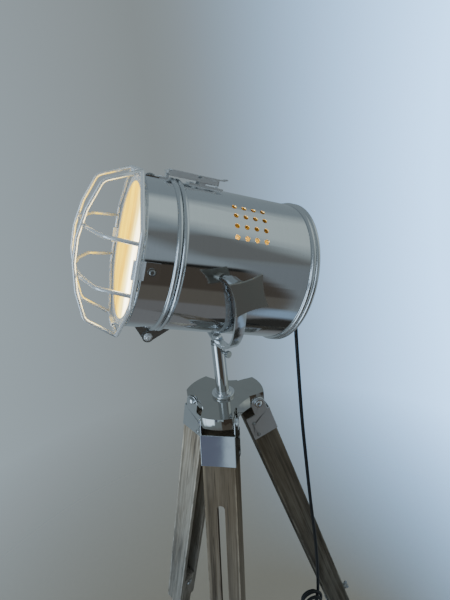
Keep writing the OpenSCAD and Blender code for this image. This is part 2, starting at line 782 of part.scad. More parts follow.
module tilt_spacers() color(chrome) on_barrel() for (side = [0, 1]) mirror([side, 0, 0]) difference() {
  along_x(spacer_r, barrel_r - sunk, yoke_in - side_gap);
  translate([0, 0, -2 * spacer_r]) cylinder(r = barrel_r, h = 4 * spacer_r);
  along_x(stud_r + fit_gap, barrel_r - 3 * sunk, yoke_r);
}

module lamp_holder() color([0.93, 0.92, 0.88]) on_barrel() translate([0, 0, -cap_inner]) difference() {
  union() {
    cylinder(r = holder_r + 5, h = 3);
    cylinder(r = holder_r, h = holder_len);
  }
  translate([0, 0, holder_len - base_len - 1]) cylinder(r = base_r + side_gap, h = base_len + 10);
}

module bulb_form(wall) {
  translate([0, 0, -base_len]) cylinder(r = base_r - wall, h = base_len + 0.01);
  cylinder(r1 = base_r - wall, r2 = 0.88 * bulb_r - wall, h = bulb_len - 1.475 * bulb_r);
  translate([0, 0, bulb_len - bulb_r]) sphere(r = bulb_r - wall);
}

module bulb() color(glow) on_barrel() translate([0, 0, -cap_inner + holder_len]) difference() {
  bulb_form(0);
  bulb_form(bulb_wall);
}

module cord_gland() color(rubber) on_barrel() translate([0, -gland_low, 0]) {
  translate([0, 0, -pan_face - gland_h]) cylinder(r = gland_r, h = gland_h, $fn = 6);
  translate([0, 0, -relief_end]) cylinder(r1 = cord_r + 0.5, r2 = relief_r, h = relief_len);
  translate([0, 0, -pan_face - 1]) cylinder(r = relief_r, h = 8);
}

module star_knob() {
  bow = knob_corner / sqrt(2) - knob_side;
  chord = knob_corner / sqrt(2);
  cut_r = (chord * chord + bow * bow) / (2 * bow);
  difference() {
    union() {
      translate([knob_at - knob_t / 2, 0, 0]) intersection() {
        along_x(knob_corner - 0.7, 0, knob_t);
        rotate([knob_turn, 0, 0]) difference() {
          translate([0, -chord, -chord]) cube([knob_t, 2 * chord, 2 * chord]);
          for (a = [0 : 90 : 270]) rotate([a, 0, 0]) translate([0, knob_side + cut_r, 0])
            along_x(cut_r, -1, knob_t + 1);
        }
      }
      along_x(knob_hub_r, yoke_r + side_gap, knob_at - knob_t / 2);
    }
    along_x(stud_r + run_gap, 0, knob_at + knob_t / 2 - 1 + run_gap);
  }
}

module near_knob() color(steel) on_barrel() star_knob();
module far_knob() color(steel) on_barrel() mirror([1, 0, 0]) star_knob();

// ---- bottom hinge between barrel and hood ----

module barrel_hinge_leaf() color(steel) on_barrel() difference() {
  union() {
    for (side = [0, 1]) mirror([side, 0, 0]) translate([hinge_half + hinge_t + side_gap, 0, 0])
      ear_at(hinge_at - leaf_behind, hinge_at - leaf_behind + leaf_len + sunk);
    translate([-hinge_half - 2 * hinge_t - side_gap, -barrel_r - hinge_t, hinge_at - leaf_behind])
      cube([2 * (hinge_half + 2 * hinge_t + side_gap), hinge_t + sunk, leaf_len]);
  }
  barrel_form();
}

module hood_hinge_leaf() color(steel) on_barrel() difference() {
  union() {
    for (side = [0, 1]) mirror([side, 0, 0]) translate([hinge_half, 0, 0])
      ear_at(hinge_at + leaf_ahead, tab_back);
    translate([-hinge_half - hinge_t, -barrel_r - hinge_t, hinge_at + leaf_ahead])
      cube([2 * (hinge_half + hinge_t), hinge_t + sunk, tab_back - hinge_at - leaf_ahead]);
  }
  hood_form();
  barrel_form();
}

// Ear sheet hinge_t thick along +x; its root spans from..to ahead of the pivot
module ear_at(from, to) {
  lean = from > hinge_at ? 1 : -1;
  near = lean > 0 ? from : to;
  far = lean > 0 ? to : from;
  difference() {
    union() {
      translate([0, -hinge_low, hinge_at]) along_x(hinge_ear_r, 0, hinge_t);
      rotate([0, -90, 0]) mirror([0, 0, 1]) linear_extrude(hinge_t)
        polygon([[hinge_at - lean * 0.3 * hinge_ear_r, -hinge_low], [near, -barrel_r + sunk],
          [far, -barrel_r + sunk], [far, -barrel_r - 2 * hinge_t],
          [hinge_at + lean * 0.75 * hinge_ear_r, -hinge_low - 0.6 * hinge_ear_r]]);
    }
    translate([0, -hinge_low, hinge_at]) along_x(hinge_bolt_r + run_gap, -1, hinge_t + 1);
  }
}

module hinge_bolt() color(steel) on_barrel() translate([0, -hinge_low, hinge_at]) {
  half = hinge_half + 2 * hinge_t + side_gap;
  along_x(hinge_bolt_r, -half, half);
  translate([half, 0, 0]) rotate([0, 90, 0]) {
    cylinder(r = 5.5, h = 0.8);
    translate([0, 0, 0.8]) domed(4.3, 1.6, 0.9);
  }
  translate([-half - 3.6, 0, 0]) rotate([0, 90, 0]) cylinder(r = 4.6, h = 3.6, $fn = 6);
}

// ---- latch ----

module latch_base() color(chrome) on_barrel() difference() {
  union() {
    translate([-latch_w / 2 - latch_t, barrel_r - sunk, base_rear])
      cube([latch_w + 2 * latch_t, sunk + base_t, base_front - base_rear]);
    for (side = [0, 1]) mirror([side, 0, 0]) translate([latch_w / 2, 0, 0]) {
      translate([0, barrel_r, lever_at - 4]) cube([latch_t, lever_up - barrel_r, 8]);
      translate([0, lever_up, lever_at]) along_x(4, 0, latch_t);
    }
    for (z = rivets_at) translate([0, 0, z])
      along_y(rivet_head_r, barrel_r, barrel_r + base_t + rivet_head_h);
    translate([0, lever_up, lever_at]) along_x(pin_r, -latch_w / 2 - latch_t, latch_w / 2 + latch_t);
  }
  difference() {
    barrel_form();
    for (z = rivets_at) translate([0, 0, z]) along_y(rivet_r, shell_in - sunk, barrel_r);
  }
}

module latch_lever() color(chrome) on_barrel() {
  half = latch_w / 2 - side_gap;
  cheek_rear = base_rear + 6;
  difference() {
    union() {
      translate([-half, lever_top - latch_t, base_rear - 1])
        cube([2 * half, latch_t, lever_at + 5 - base_rear]);
      for (side = [0, 1]) mirror([side, 0, 0]) translate([half - latch_t, 0, 0]) {
        translate([0, lever_up - 3, cheek_rear])
          cube([latch_t, lever_top - lever_up + 2, lever_at - cheek_rear]);
        translate([0, lever_up, lever_at]) along_x(3.5, 0, latch_t);
      }
      translate([0, lever_top - 1, base_rear - 1]) rotate([20, 0, 0]) translate([-half, 0, -4])
        cube([2 * half, latch_t, 6]);
    }
    translate([0, lever_up, lever_at]) along_x(pin_r + run_gap, -latch_w, latch_w);
  }
  translate([0, lever_up, bail_at]) difference() {
    along_x(pin_r, -latch_w / 2 - 2 * latch_t - side_gap, latch_w / 2 + 2 * latch_t + side_gap);
    along_x(pin_r + 1, -half + latch_t, half - latch_t);
  }
}

module latch_bail() color(chrome) on_barrel() {
  arm = latch_w / 2 + latch_t + side_gap;
  plate_rear = lever_at + 7;
  plate_len = roll_at - 2 - plate_rear;
  difference() {
    for (side = [0, 1]) mirror([side, 0, 0]) translate([arm, 0, 0]) {
      translate([0, lever_up - 2, bail_at]) cube([latch_t, 4, roll_at - bail_at]);
      translate([0, lever_up, bail_at]) along_x(3, 0, latch_t);
      translate([0, lever_up - 2, plate_rear]) cube([latch_t, lever_top - lever_up + 2, plate_len]);
    }
    translate([0, lever_up, bail_at]) along_x(pin_r + run_gap, -2 * latch_w, 2 * latch_w);
  }
  difference() {
    translate([-arm, lever_top - latch_t, plate_rear]) cube([2 * arm, latch_t, plate_len]);
    translate([-2, lever_top - 4, plate_rear + 7]) cube([4, 8, plate_len / 2]);
  }
  translate([0, roll_up, roll_at]) along_x(roll_r, -arm - latch_t, arm + latch_t);
}

module latch_catch() color(chrome) on_barrel() difference() {
  catch_at = roll_at - 0.5;
  lip_up = roll_up - roll_r - side_gap;
  union() {
    translate([-catch_w / 2, barrel_r - sunk, catch_at]) cube([catch_w, sunk + catch_t, catch_len]);
    translate([-catch_w / 3, barrel_r, catch_at]) cube([catch_w / 1.5, lip_up - barrel_r, 3]);
    translate([0, lip_up - 1.5, catch_at + 1.5]) along_x(1.5, -catch_w / 3, catch_w / 3);
    for (side = [-1, 1]) translate([side * 0.3 * catch_w, 0, catch_at + catch_len - 3])
      along_y(1.8, barrel_r, barrel_r + catch_t + 1);
  }
  hood_form();
}

// ---- hood and guard ----

module hood_shell() color(chrome) on_barrel() difference() {
  hood_form();
  translate([0, 0, hood_back - 10]) cylinder(r = shell_in, h = lens_front - hood_back + 10, $fn = fine);
  cylinder(r = lens_view_r, h = 2 * hood_front, $fn = fine);
  at_tabs() translate([0, 0, tab_screw_at]) along_x(tab_screw_hole, shell_in - sunk, barrel_r + sunk);
}

module lens() color([0.99, 0.88, 0.62, 0.8]) on_barrel() translate([0, 0, lens_back])
  cylinder(r = shell_in - side_gap, h = lens_t);

module lens_ring() color(steel) on_barrel() translate([0, 0, lens_back - lens_ring_h])
  tube(shell_in - fit_gap, shell_in - 4, lens_ring_h);

// Half of a guard bar: distances in from the circle of the ring's corners, and ahead of the ring
bar_bends = [[24.5, 38], [57, 50.5], [88, 56.5]];

// Half of a bar, as [reach, height], from the ring in over the lens, and the other half mirrored
function bar_path(low) = let (half = [for (b = bar_bends) [ring_corner - b[0], b[1] - low]])
  concat([[ring_flat, 0]], half, [for (i = [2 : -1 : 0]) [-half[i][0], half[i][1]]], [[-ring_flat, 0]]);

module guard() color(chrome) on_barrel() translate([0, 0, ring_at]) {
  wire([for (i = [0 : 8]) ring_corner * [cos(22.5 + 45 * i), sin(22.5 + 45 * i), 0]], ring_rod);
  for (x = [-bar_side, bar_side]) wire([for (p = bar_path(0)) [x, p[0], p[1]]], bar_rod);
  for (y = [-bar_height, bar_height]) wire([for (p = bar_path(bar_nest)) [p[0], y, p[1]]], bar_rod);
}

module at_tabs() { for (a = [0 : 90 : 270]) rotate([0, 0, a]) children(); }

module guard_tabs() color(chrome) on_barrel() difference() {
  at_tabs() {
    intersection() {
      translate([barrel_r - sunk, -tab_w / 2, tab_back])
        cube([2 * sunk + tab_t, tab_w, ring_at + ring_rod - tab_back]);
      translate([0, 0, tab_back - 1]) tube(barrel_r + tab_t, barrel_r, ring_at - tab_back + 15, $fn = fine);
    }
    translate([ring_flat - ring_rod - tab_fold / 2, -tab_w / 2, ring_at + ring_rod])
      cube([tab_fold, tab_w, tab_t]);
  }
  hood_form();
  at_tabs() translate([0, 0, tab_screw_at]) along_x(tab_screw_hole, shell_in - sunk, barrel_r + sunk);
}

module tab_screws() color(steel) on_barrel() at_tabs() translate([0, 0, tab_screw_at]) {
  along_x(tab_shank_r, shell_in - sunk, barrel_r + tab_t);
  difference() {
    translate([barrel_r + tab_t - 1, 0, 0]) rotate([0, 90, 0]) domed(tab_head_r, 2, 1);
    translate([0, 0, -2 * tab_head_r]) cylinder(r = barrel_r + tab_t, h = 4 * tab_head_r, $fn = fine);
    translate([barrel_r + 2 * tab_t, 0, 0]) rotate([0, 90, 0]) cylinder(r = socket_r, h = 5, $fn = 6);
  }
}

// ---- cord ----

function unit(v) = v / norm(v);
function tangent(path, i) = unit(path[min(i + 1, len(path) - 1)] - path[max(i - 1, 0)]);

// Tube swept along a path that never runs along X
module swept(path, r, sides, first = undef, last = undef) {
  n = len(path);
  points = [for (i = [0 : n - 1])
    let (t = i == 0 && !is_undef(first) ? first : i == n - 1 && !is_undef(last) ? last : tangent(path, i),
         a = unit(cross(t, [1, 0, 0])), b = cross(t, a))
    for (k = [0 : sides - 1]) path[i] + r * (cos(360 * k / sides) * a + sin(360 * k / sides) * b)];
  walls = [for (i = [0 : n - 2], k = [0 : sides - 1])
    let (p = i * sides + k, q = i * sides + (k + 1) % sides)
    for (f = [[p, q, q + sides], [p, q + sides, p + sides]]) f];
  last_ring = (n - 1) * sides;
  ends = [for (k = [1 : sides - 2]) each [[0, k + 1, k], [last_ring, last_ring + k, last_ring + k + 1]]];
  polyhedron(points = points, faces = concat(walls, ends));
}

// Smooth curve through the route's points, with some steps between each pair
function curve(p, steps) = concat([for (i = [0 : len(p) - 2], s = [0 : steps - 1])
  let (a = p[max(i - 1, 0)], b = p[i], c = p[i + 1], d = p[min(i + 2, len(p) - 1)], t = s / steps)
  0.5 * (2 * b + (c - a) * t + (2 * a - 5 * b + 4 * c - d) * t * t + (3 * b - a - 3 * c + d) * t * t * t)],
  [p[len(p) - 1]]);

exit_dir = [0, cos(tilt), -sin(tilt)];
cord_start = [0, relief_end * cos(tilt) - gland_low * sin(tilt),
  pivot_z - relief_end * sin(tilt) - gland_low * cos(tilt)];

function hank_layer(t) = let (n = floor(t + 0.5)) n == 0 ? 0 : n - 1 + max(0, min(1, 2 * (t - n) + 0.5));
function hank_width(t) = hank_w - hank_step * abs((t + 1) % 2 - 1);
function hank_draw(v) = 1 - hank_waist * pow(cos(90 * v / hank_run), 2);
// One turn: a quarter bend, a run down, a half bend, a run up and a quarter bend
function hank_at(t) = let (f = t - floor(t), w = hank_width(t),
    v = f < 0.125 || f > 0.875 ? hank_run + w * cos(720 * f)
      : f < 0.375 ? hank_run * (2 - 8 * f)
      : f < 0.625 ? -hank_run - w * cos(720 * (f - 0.5)) : hank_run * (8 * f - 6),
    u = f < 0.125 || f > 0.875 ? w * sin(720 * f)
      : f < 0.375 ? w * hank_draw(v)
      : f < 0.625 ? -w * sin(720 * (f - 0.5)) : -w * hank_draw(v))
  [hank_x + hank_step * hank_layer(t), hank_y + u, hank_z + v];
hank_path = [for (i = [0 : round((hank_to - hank_from) * hank_rings)]) hank_at(hank_from + i / hank_rings)];
hank_end = hank_path[len(hank_path) - 1];
hank_gap = min([for (i = [0 : len(hank_path) - 8], j = [i + 7 : len(hank_path) - 1])
  norm(hank_path[i] - hank_path[j])]) - cord_d;
function path_length(p) = len(p) < 2 ? 0 : [for (i = 1, s = norm(p[1] - p[0]); i < len(p); i = i + 1,
  s = s + (i < len(p) ? norm(p[i] - p[i - 1]) : 0)) s][len(p) - 2];
echo(hank_gap = hank_gap, hank_length = path_length(hank_path),
  upper_length = path_length(concat([cord_start], upper_route)), lower_length = path_length(lower_route));

module cord_upper() color(rubber)
  swept(curve(concat([cord_start, cord_start + 3 * exit_dir], upper_route), 2), cord_r, 8,
    exit_dir, [0, 0, -1]);

module cord_lower() color(rubber)
  swept(curve(concat(lower_route, [hank_path[0]]), 4), cord_r, 8, [0, 0, -1], [0, 0, -1]);

module cord_hank() color(rubber)
  swept(concat(hank_path, [hank_end - [0, 0, tail_len / 2], hank_end - [0, 0, tail_len]]), cord_r, 6,
    [0, 0, -1], [0, 0, -1]);

module cord_tie() color([0.15, 0.15, 0.15]) {
  reach = (1 - hank_waist) * hank_w + cord_r + 0.5;
  layers = 3 * hank_step + 2 * cord_r + 1;
  translate([hank_x - cord_r - 0.5, hank_y - reach, hank_z - 4]) difference() {
    translate([-1, -1, 0]) cube([layers + 2, 2 * reach + 2, 8]);
    translate([0, 0, -1]) cube([layers, 2 * reach, 10]);
  }
}

module cord_plug() color(rubber) translate(hank_end - [0, 0, tail_len]) {
  translate([0, 0, -plug_sleeve]) cylinder(r1 = 5, r2 = cord_r + 0.6, h = plug_sleeve);
  difference() {
    translate([0, 0, -plug_sleeve - plug_len]) intersection() {
      translate([-plug_d / 2, -plug_w / 2, 0]) cube([plug_d, plug_w, plug_len]);
      translate([0, 0, plug_len / 2]) along_x(0.62 * plug_len, -plug_d, plug_d);
    }
    plug_pin_holes();
  }
}

module plug_pin_holes() {
  for (side = [-1, 1]) translate([0, side * pin_gap / 2, -plug_sleeve - plug_len - 1])
    cylinder(r = pin_rad, h = pin_root + 1);
}

module plug_pins() color(steel) translate(hank_end - [0, 0, tail_len])
  for (side = [-1, 1]) translate([0, side * pin_gap / 2, -plug_sleeve - plug_len - pin_len])
    cylinder(r = pin_rad, h = pin_len + pin_root);

head_plate();
leg_bolts();
stem_collar();
stem_tube();
stem_nut();
thumb_screw();
front_bracket();
front_nails();
front_upper_leg();
front_lower_leg();
front_foot();
front_clamp_bolt();
front_wing_nut();
left_bracket();
left_nails();
left_upper_leg();
left_lower_leg();
left_foot();
left_clamp_bolt();
left_wing_nut();
rear_bracket();
rear_nails();
rear_upper_leg();
rear_lower_leg();
rear_foot();
rear_clamp_bolt();
rear_wing_nut();
yoke_strip();
yoke_spigot();
yoke_nut();
barrel_shell();
joint_sleeve();
rear_cap();
cap_screws();
tilt_studs();
tilt_spacers();
lamp_holder();
bulb();
cord_gland();
barrel_hinge_leaf();
hinge_bolt();
latch_base();
near_knob();
far_knob();
latch_lever();
latch_bail();
hood_shell();
hood_hinge_leaf();
lens();
lens_ring();
guard();
guard_tabs();
tab_screws();
latch_catch();
cord_upper();
cord_lower();
cord_hank();
cord_tie();
cord_plug();
plug_pins();
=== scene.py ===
"""Tripod spotlight floor lamp: its finishes, mains lead, wire guard and studio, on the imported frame."""

import json
import math
from collections import namedtuple

import bmesh
import bpy
from bpy.props import FloatProperty, FloatVectorProperty, IntProperty, PointerProperty
from mathutils import Matrix, Vector


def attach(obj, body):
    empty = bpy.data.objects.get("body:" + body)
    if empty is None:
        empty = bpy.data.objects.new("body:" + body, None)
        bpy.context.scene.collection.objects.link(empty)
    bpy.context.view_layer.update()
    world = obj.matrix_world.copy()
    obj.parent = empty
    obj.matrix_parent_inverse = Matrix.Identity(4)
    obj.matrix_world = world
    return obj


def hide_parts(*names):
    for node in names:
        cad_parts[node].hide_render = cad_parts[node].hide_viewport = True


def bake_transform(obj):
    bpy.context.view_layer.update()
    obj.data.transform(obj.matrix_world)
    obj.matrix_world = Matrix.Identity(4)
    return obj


bl_info = {
    "name": "Tripod spotlight floor lamp",
    "version": (1, 0, 0),
    "blender": (4, 5, 0),
    "location": "3D View > Sidebar > Spotlight",
    "description": "Dresses the packed frame of a tripod spotlight: metal, wood, lens, guard and lead",
    "category": "Object",
}

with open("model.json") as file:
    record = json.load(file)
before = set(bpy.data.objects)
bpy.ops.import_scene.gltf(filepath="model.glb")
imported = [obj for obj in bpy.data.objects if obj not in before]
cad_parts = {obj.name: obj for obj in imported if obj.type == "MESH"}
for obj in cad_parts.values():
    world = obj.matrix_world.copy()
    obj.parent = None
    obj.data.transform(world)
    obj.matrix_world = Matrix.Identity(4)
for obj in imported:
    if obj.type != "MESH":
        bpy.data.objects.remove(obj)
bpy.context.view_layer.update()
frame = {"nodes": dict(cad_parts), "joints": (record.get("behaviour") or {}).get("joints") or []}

MM = 0.001

# ---- places in the frame ----

# Legs: each leg's turn about the stem, in degrees, and its hinge bolt's reach and height
LEGS = {"front": 330, "left": 210, "rear": 90}
LEG_SPLAY = math.radians(15.8)
LEG_HINGE = (44.1 * MM, 1106.55 * MM)

# The upper leg's section in the leg's own frame, and how far inside its faces the corners' wear
# starts and is full
LEG_HALF_WIDTH = 23 * MM
LEG_HALF_DEPTH = 18.85 * MM
LEG_MIDDLE = -7.45 * MM
WORN_FROM, WORN_TO = 3 * MM, 0.5 * MM

# The barrel's frame: x across, y up, z along its axis towards the lens, from the tilt axis
BARREL_TILT = math.radians(18.9)
BARREL_PIVOT = Vector(next(j for j in frame["joints"] if j["name"] == "barrel_tilt")["pos_m"])
BARREL = Matrix.Translation(BARREL_PIVOT) @ Matrix.Rotation(math.pi / 2 - BARREL_TILT, 4, "X")

SHELL_INSIDE = 88.5 * MM
SHELL_OUTSIDE = 90 * MM
TAB_BEND = 98 * MM
# Where painted shade darkens the coat inside the barrel: going up from the axis, and going back along it
SHADED_COAT_HEIGHT = (22 * MM, 44 * MM)
SHADED_COAT_DEPTH = (45 * MM, 30 * MM)
# The lens's bright core stands to one side and under the axis, in a glow that is stretched upright
CORE_SIDE, CORE_LOW = 72 * MM, 20 * MM
CORE_SQUEEZE = 0.45
CORE_SIZE, GLOW_SIZE = 12 * MM, 130 * MM

# The wire guard, as the source has it: the ring's plane, corners and rod, and the bars' rod
RING_AT = 107 * MM
RING_CORNER = 102 * MM
RING_ROD, BAR_ROD = 2.5 * MM, 2.2 * MM
# The level bars stand this far from the axis and lie this much under the upright ones
LEVEL_BAR, LEVEL_BAR_NEST = 27 * MM, 3.5 * MM
# Half of a bar: its bends' reach from the axis and rise over the ring in mm, from the ring inwards
BAR_BENDS = ((77.5, 38), (45, 50.5), (14, 56.5))
BEND_STEPS = 8


def leg_frame(azimuth):
    """The frame of a leg: x outward, y across and z up along it, from its hinge bolt."""
    reach, height = LEG_HINGE
    turn = Matrix.Rotation(math.radians(azimuth), 4, "Z")
    return turn @ Matrix.Translation((reach, 0, height)) @ Matrix.Rotation(-LEG_SPLAY, 4, "Y")


def barrel_point(x, y, z):
    """A point of the barrel's frame."""
    return BARREL @ Vector((x, y, z))


# ---- sizes and colours that a user would change ----


class CameraSettings(bpy.types.PropertyGroup):
    place: FloatVectorProperty(
        name="Place", description="Where the camera stands", default=(0.5088, -0.14375, 1.48625),
        subtype="TRANSLATION", unit="LENGTH",
    )
    heading: FloatProperty(
        name="Heading", description="Turn of the camera about the vertical", default=math.radians(72.43),
        subtype="ANGLE",
    )
    pitch: FloatProperty(
        name="Pitch", description="How far the camera looks down", default=math.radians(22.37),
        subtype="ANGLE",
    )
    roll: FloatProperty(
        name="Roll", description="Turn of the picture about its centre", default=math.radians(-5.90),
        subtype="ANGLE",
    )
    lens: FloatProperty(
        name="Lens", description="Focal length on a 36 mm sensor", default=25.71, subtype="DISTANCE_CAMERA"
    )


class MetalSettings(bpy.types.PropertyGroup):
    chrome: FloatVectorProperty(
        name="Chrome", description="Colour of the bright plating", default=(0.74, 0.75, 0.76),
        subtype="COLOR",
    )
    steel: FloatVectorProperty(
        name="Steel", description="Colour of screws and pressed steel", default=(0.50, 0.50, 0.49),
        subtype="COLOR",
    )
    brushed: FloatVectorProperty(
        name="Brushed plate", description="Colour of the knob plates", default=(0.52, 0.495, 0.44),
        subtype="COLOR",
    )
    cast: FloatVectorProperty(
        name="Cast plate", description="Colour of the head plate", default=(0.49, 0.475, 0.445),
        subtype="COLOR",
    )
    gloss: FloatProperty(
        name="Gloss", description="Roughness of clean chrome", default=0.055, min=0.0, max=1.0,
        subtype="FACTOR",
    )
    haze: FloatProperty(
        name="Haze", description="Roughness of the spun barrel", default=0.095, min=0.0, max=1.0,
        subtype="FACTOR",
    )


class WoodSettings(bpy.types.PropertyGroup):
    pale: FloatVectorProperty(
        name="Pale grain", description="Colour of the weathered ridges", default=(0.36, 0.33, 0.28),
        subtype="COLOR",
    )
    middle: FloatVectorProperty(
        name="Wood", description="Colour between the ridges", default=(0.20, 0.165, 0.125), subtype="COLOR"
    )
    dark: FloatVectorProperty(
        name="Dark grain", description="Colour of the pores", default=(0.060, 0.045, 0.034), subtype="COLOR"
    )


class GlowSettings(bpy.types.PropertyGroup):
    lens: FloatVectorProperty(
        name="Lens", description="Light of the lens near its rim", default=(3.3, 2.15, 0.0),
        subtype="COLOR",
    )
    halo: FloatVectorProperty(
        name="Lens halo", description="Light of the lens about its core", default=(4.8, 4.0, 1.2),
        subtype="COLOR",
    )
    core: FloatVectorProperty(
        name="Lens core", description="Light of the lens before the bulb", default=(10.0, 9.4, 7.2),
        subtype="COLOR",
    )
    lens_light: FloatProperty(
        name="Lens light", description="Strength of the lens's light", default=1.0, min=0.0
    )
    bulb: FloatVectorProperty(
        name="Bulb", description="Colour of the bulb's light", default=(1.0, 0.46, 0.05), subtype="COLOR"
    )
    bulb_light: FloatProperty(
        name="Bulb light", description="Strength of the bulb's light", default=8.0, min=0.0
    )


class CordSettings(bpy.types.PropertyGroup):
    diameter: FloatProperty(
        name="Diameter", description="Diameter of the round mains lead", default=5.5 * MM,
        subtype="DISTANCE", unit="LENGTH",
    )
    sides: IntProperty(name="Sides", description="Faces round the lead", default=14, min=8)


class GuardSettings(bpy.types.PropertyGroup):
    ring_bend: FloatProperty(
        name="Ring bends", description="Bend radius of the octagon's corners", default=10 * MM,
        subtype="DISTANCE", unit="LENGTH",
    )
    bar_bend: FloatProperty(
        name="Bar bends", description="Bend radius of the bars", default=13 * MM, subtype="DISTANCE",
        unit="LENGTH",
    )
    sides: IntProperty(name="Sides", description="Faces round each rod", default=20, min=8)


class StageSettings(bpy.types.PropertyGroup):
    floor: FloatVectorProperty(
        name="Floor", description="Colour of the plain floor", default=(0.50, 0.44, 0.36), subtype="COLOR"
    )
    backdrop_dim: FloatVectorProperty(
        name="Backdrop, dim part", description="Colour of the backdrop's darkest part",
        default=(0.25, 0.285, 0.295), subtype="COLOR",
    )
    backdrop_left: FloatVectorProperty(
        name="Backdrop, left side", description="Colour of the backdrop at the picture's left",
        default=(0.34, 0.41, 0.45), subtype="COLOR",
    )
    backdrop_bright: FloatVectorProperty(
        name="Backdrop, bright side", description="Colour of the backdrop at the picture's right",
        default=(1.05, 1.95, 3.2), subtype="COLOR",
    )
    key: FloatProperty(
        name="Key light", description="Power of the soft key light", default=15.0, subtype="POWER"
    )
    fill: FloatProperty(
        name="Fill light", description="Power of the soft fill light", default=5.0, subtype="POWER"
    )


class SpotlightSettings(bpy.types.PropertyGroup):
    camera: PointerProperty(type=CameraSettings)
    metal: PointerProperty(type=MetalSettings)
    wood: PointerProperty(type=WoodSettings)
    glow: PointerProperty(type=GlowSettings)
    cord: PointerProperty(type=CordSettings)
    guard: PointerProperty(type=GuardSettings)
    stage: PointerProperty(type=StageSettings)


# ---- shader expressions ----


class Value:
    """A socket that stands for its value: arithmetic on it adds Math nodes."""

    def __init__(self, tree, socket):
        self.tree = tree
        self.socket = socket

    def __add__(self, other):
        return self.tree.maths("ADD", self, other)

    def __radd__(self, other):
        return self.tree.maths("ADD", other, self)

    def __sub__(self, other):
        return self.tree.maths("SUBTRACT", self, other)

    def __rsub__(self, other):
        return self.tree.maths("SUBTRACT", other, self)

    def __mul__(self, other):
        return self.tree.maths("MULTIPLY", self, other)

    def __rmul__(self, other):
        return self.tree.maths("MULTIPLY", other, self)

    def __pow__(self, other):
        return self.tree.maths("POWER", self, other)

    def __rpow__(self, other):
        return self.tree.maths("POWER", other, self)


def rgba(colour):
    """A colour with its alpha, as sockets take it."""
    return (*colour[:3], 1.0)


def shade(colour, factor):
    """A colour made lighter or darker by a factor."""
    return [factor * part for part in colour]


class Tree:
    """A node tree, filled through one method, with short names for the nodes used most."""

    def __init__(self, tree):
        self.tree = tree

    def node(self, kind, settings=None, sockets=None, output=0):
        """Adds a node: settings first, then the values or links of its sockets."""
        made = self.tree.nodes.new(kind)
        for name, setting in (settings or {}).items():
            if name == "stops":
                self.fill_ramp(made.color_ramp, setting)
            else:
                setattr(made, name, setting)
        for name, value in (sockets or {}).items():
            self.feed(made.inputs[name], value)
        return Value(self, made.outputs[output]) if made.outputs else made

    def feed(self, socket, value):
        if isinstance(value, Value):
            self.tree.links.new(value.socket, socket)
        else:
            socket.default_value = value

    def fill_ramp(self, ramp, stops):
        for i, (at, colour) in enumerate(stops):
            stop = ramp.elements[i] if i < len(ramp.elements) else ramp.elements.new(at)
            stop.position = at
            stop.color = rgba(colour)

    def maths(self, operation, *terms):
        return self.node("ShaderNodeMath", {"operation": operation}, dict(enumerate(terms)))

    def place(self, frame_matrix=None, scale=(1, 1, 1)):
        """Object coordinates, in a frame if one is given, stretched by scale."""
        here = self.node("ShaderNodeTexCoord", output=3)
        if frame_matrix is not None:
            back = frame_matrix.inverted()
            here = self.node(
                "ShaderNodeMapping", {"vector_type": "POINT"},
                {"Vector": here, "Location": back.translation, "Rotation": back.to_euler("XYZ")},
            )
        return self.node("ShaderNodeVectorMath", {"operation": "MULTIPLY"}, {0: here, 1: scale})

    def axis(self, vector, name):
        return self.node("ShaderNodeSeparateXYZ", None, {0: vector}, "XYZ".index(name))

    def length(self, vector):
        return self.node("ShaderNodeVectorMath", {"operation": "LENGTH"}, {0: vector}, output=1)

    def noise(self, vector, scale=1.0, detail=3.0, rough=0.5, distortion=0.0):
        return self.node(
            "ShaderNodeTexNoise", None,
            {"Vector": vector, "Scale": scale, "Detail": detail, "Roughness": rough,
             "Distortion": distortion},
        )

    def ramp(self, value, stops):
        return self.node("ShaderNodeValToRGB", {"stops": stops}, {0: value})

    def between(self, value, low, high, to_low=0.0, to_high=1.0):
        """value, taken from low..high to to_low..to_high, and held there."""
        return self.node(
            "ShaderNodeMapRange", {"clamp": True},
            {"Value": value, "From Min": low, "From Max": high, "To Min": to_low, "To Max": to_high},
        )

    def mix(self, factor, a, b, blend="MIX"):
        """Colour a turned into colour b by a factor."""
        first, second = (colour if isinstance(colour, Value) else rgba(colour) for colour in (a, b))
        settings = {"data_type": "RGBA", "blend_type": blend}
        return self.node("ShaderNodeMix", settings, {0: factor, 6: first, 7: second}, output=2)


class Finish(Tree):
    """A material: a Principled shader with its constants, and what varies over the surface."""

    def __init__(self, name, **constants):
        self.material = bpy.data.materials.new(name)
        self.material.use_nodes = True
        super().__init__(self.material.node_tree)
        self.shader = self.tree.nodes["Principled BSDF"]
        for socket, value in constants.items():
            self.shader.inputs[socket.replace("_", " ")].default_value = value

    def vary(self, socket, value):
        self.feed(self.shader.inputs[socket], value)

    def bump(self, height, depth, strength):
        sockets = {"Strength": strength, "Distance": depth, "Height": height}
        self.vary("Normal", self.node("ShaderNodeBump", None, sockets))

    def smudges(self):
        """Soft blotches, as hands leave on plating."""
        return self.between(self.noise(self.place(), 34.0, 4.0, 0.6, distortion=0.6), 0.46, 0.72)


# ---- metal finishes ----

# How noise on the spun barrel is stretched, across the axis and along it
SPUN_STREAK = (3.0, 3.0, 420.0)
SPUN_CLOUD = (1, 1, 1.6)
# The pale coat inside the barrel, and the near-black painted shade laid on it high up and at the back
PALE_COAT = (0.80, 0.78, 0.74)
SHADED_COAT = (0.07, 0.055, 0.045)


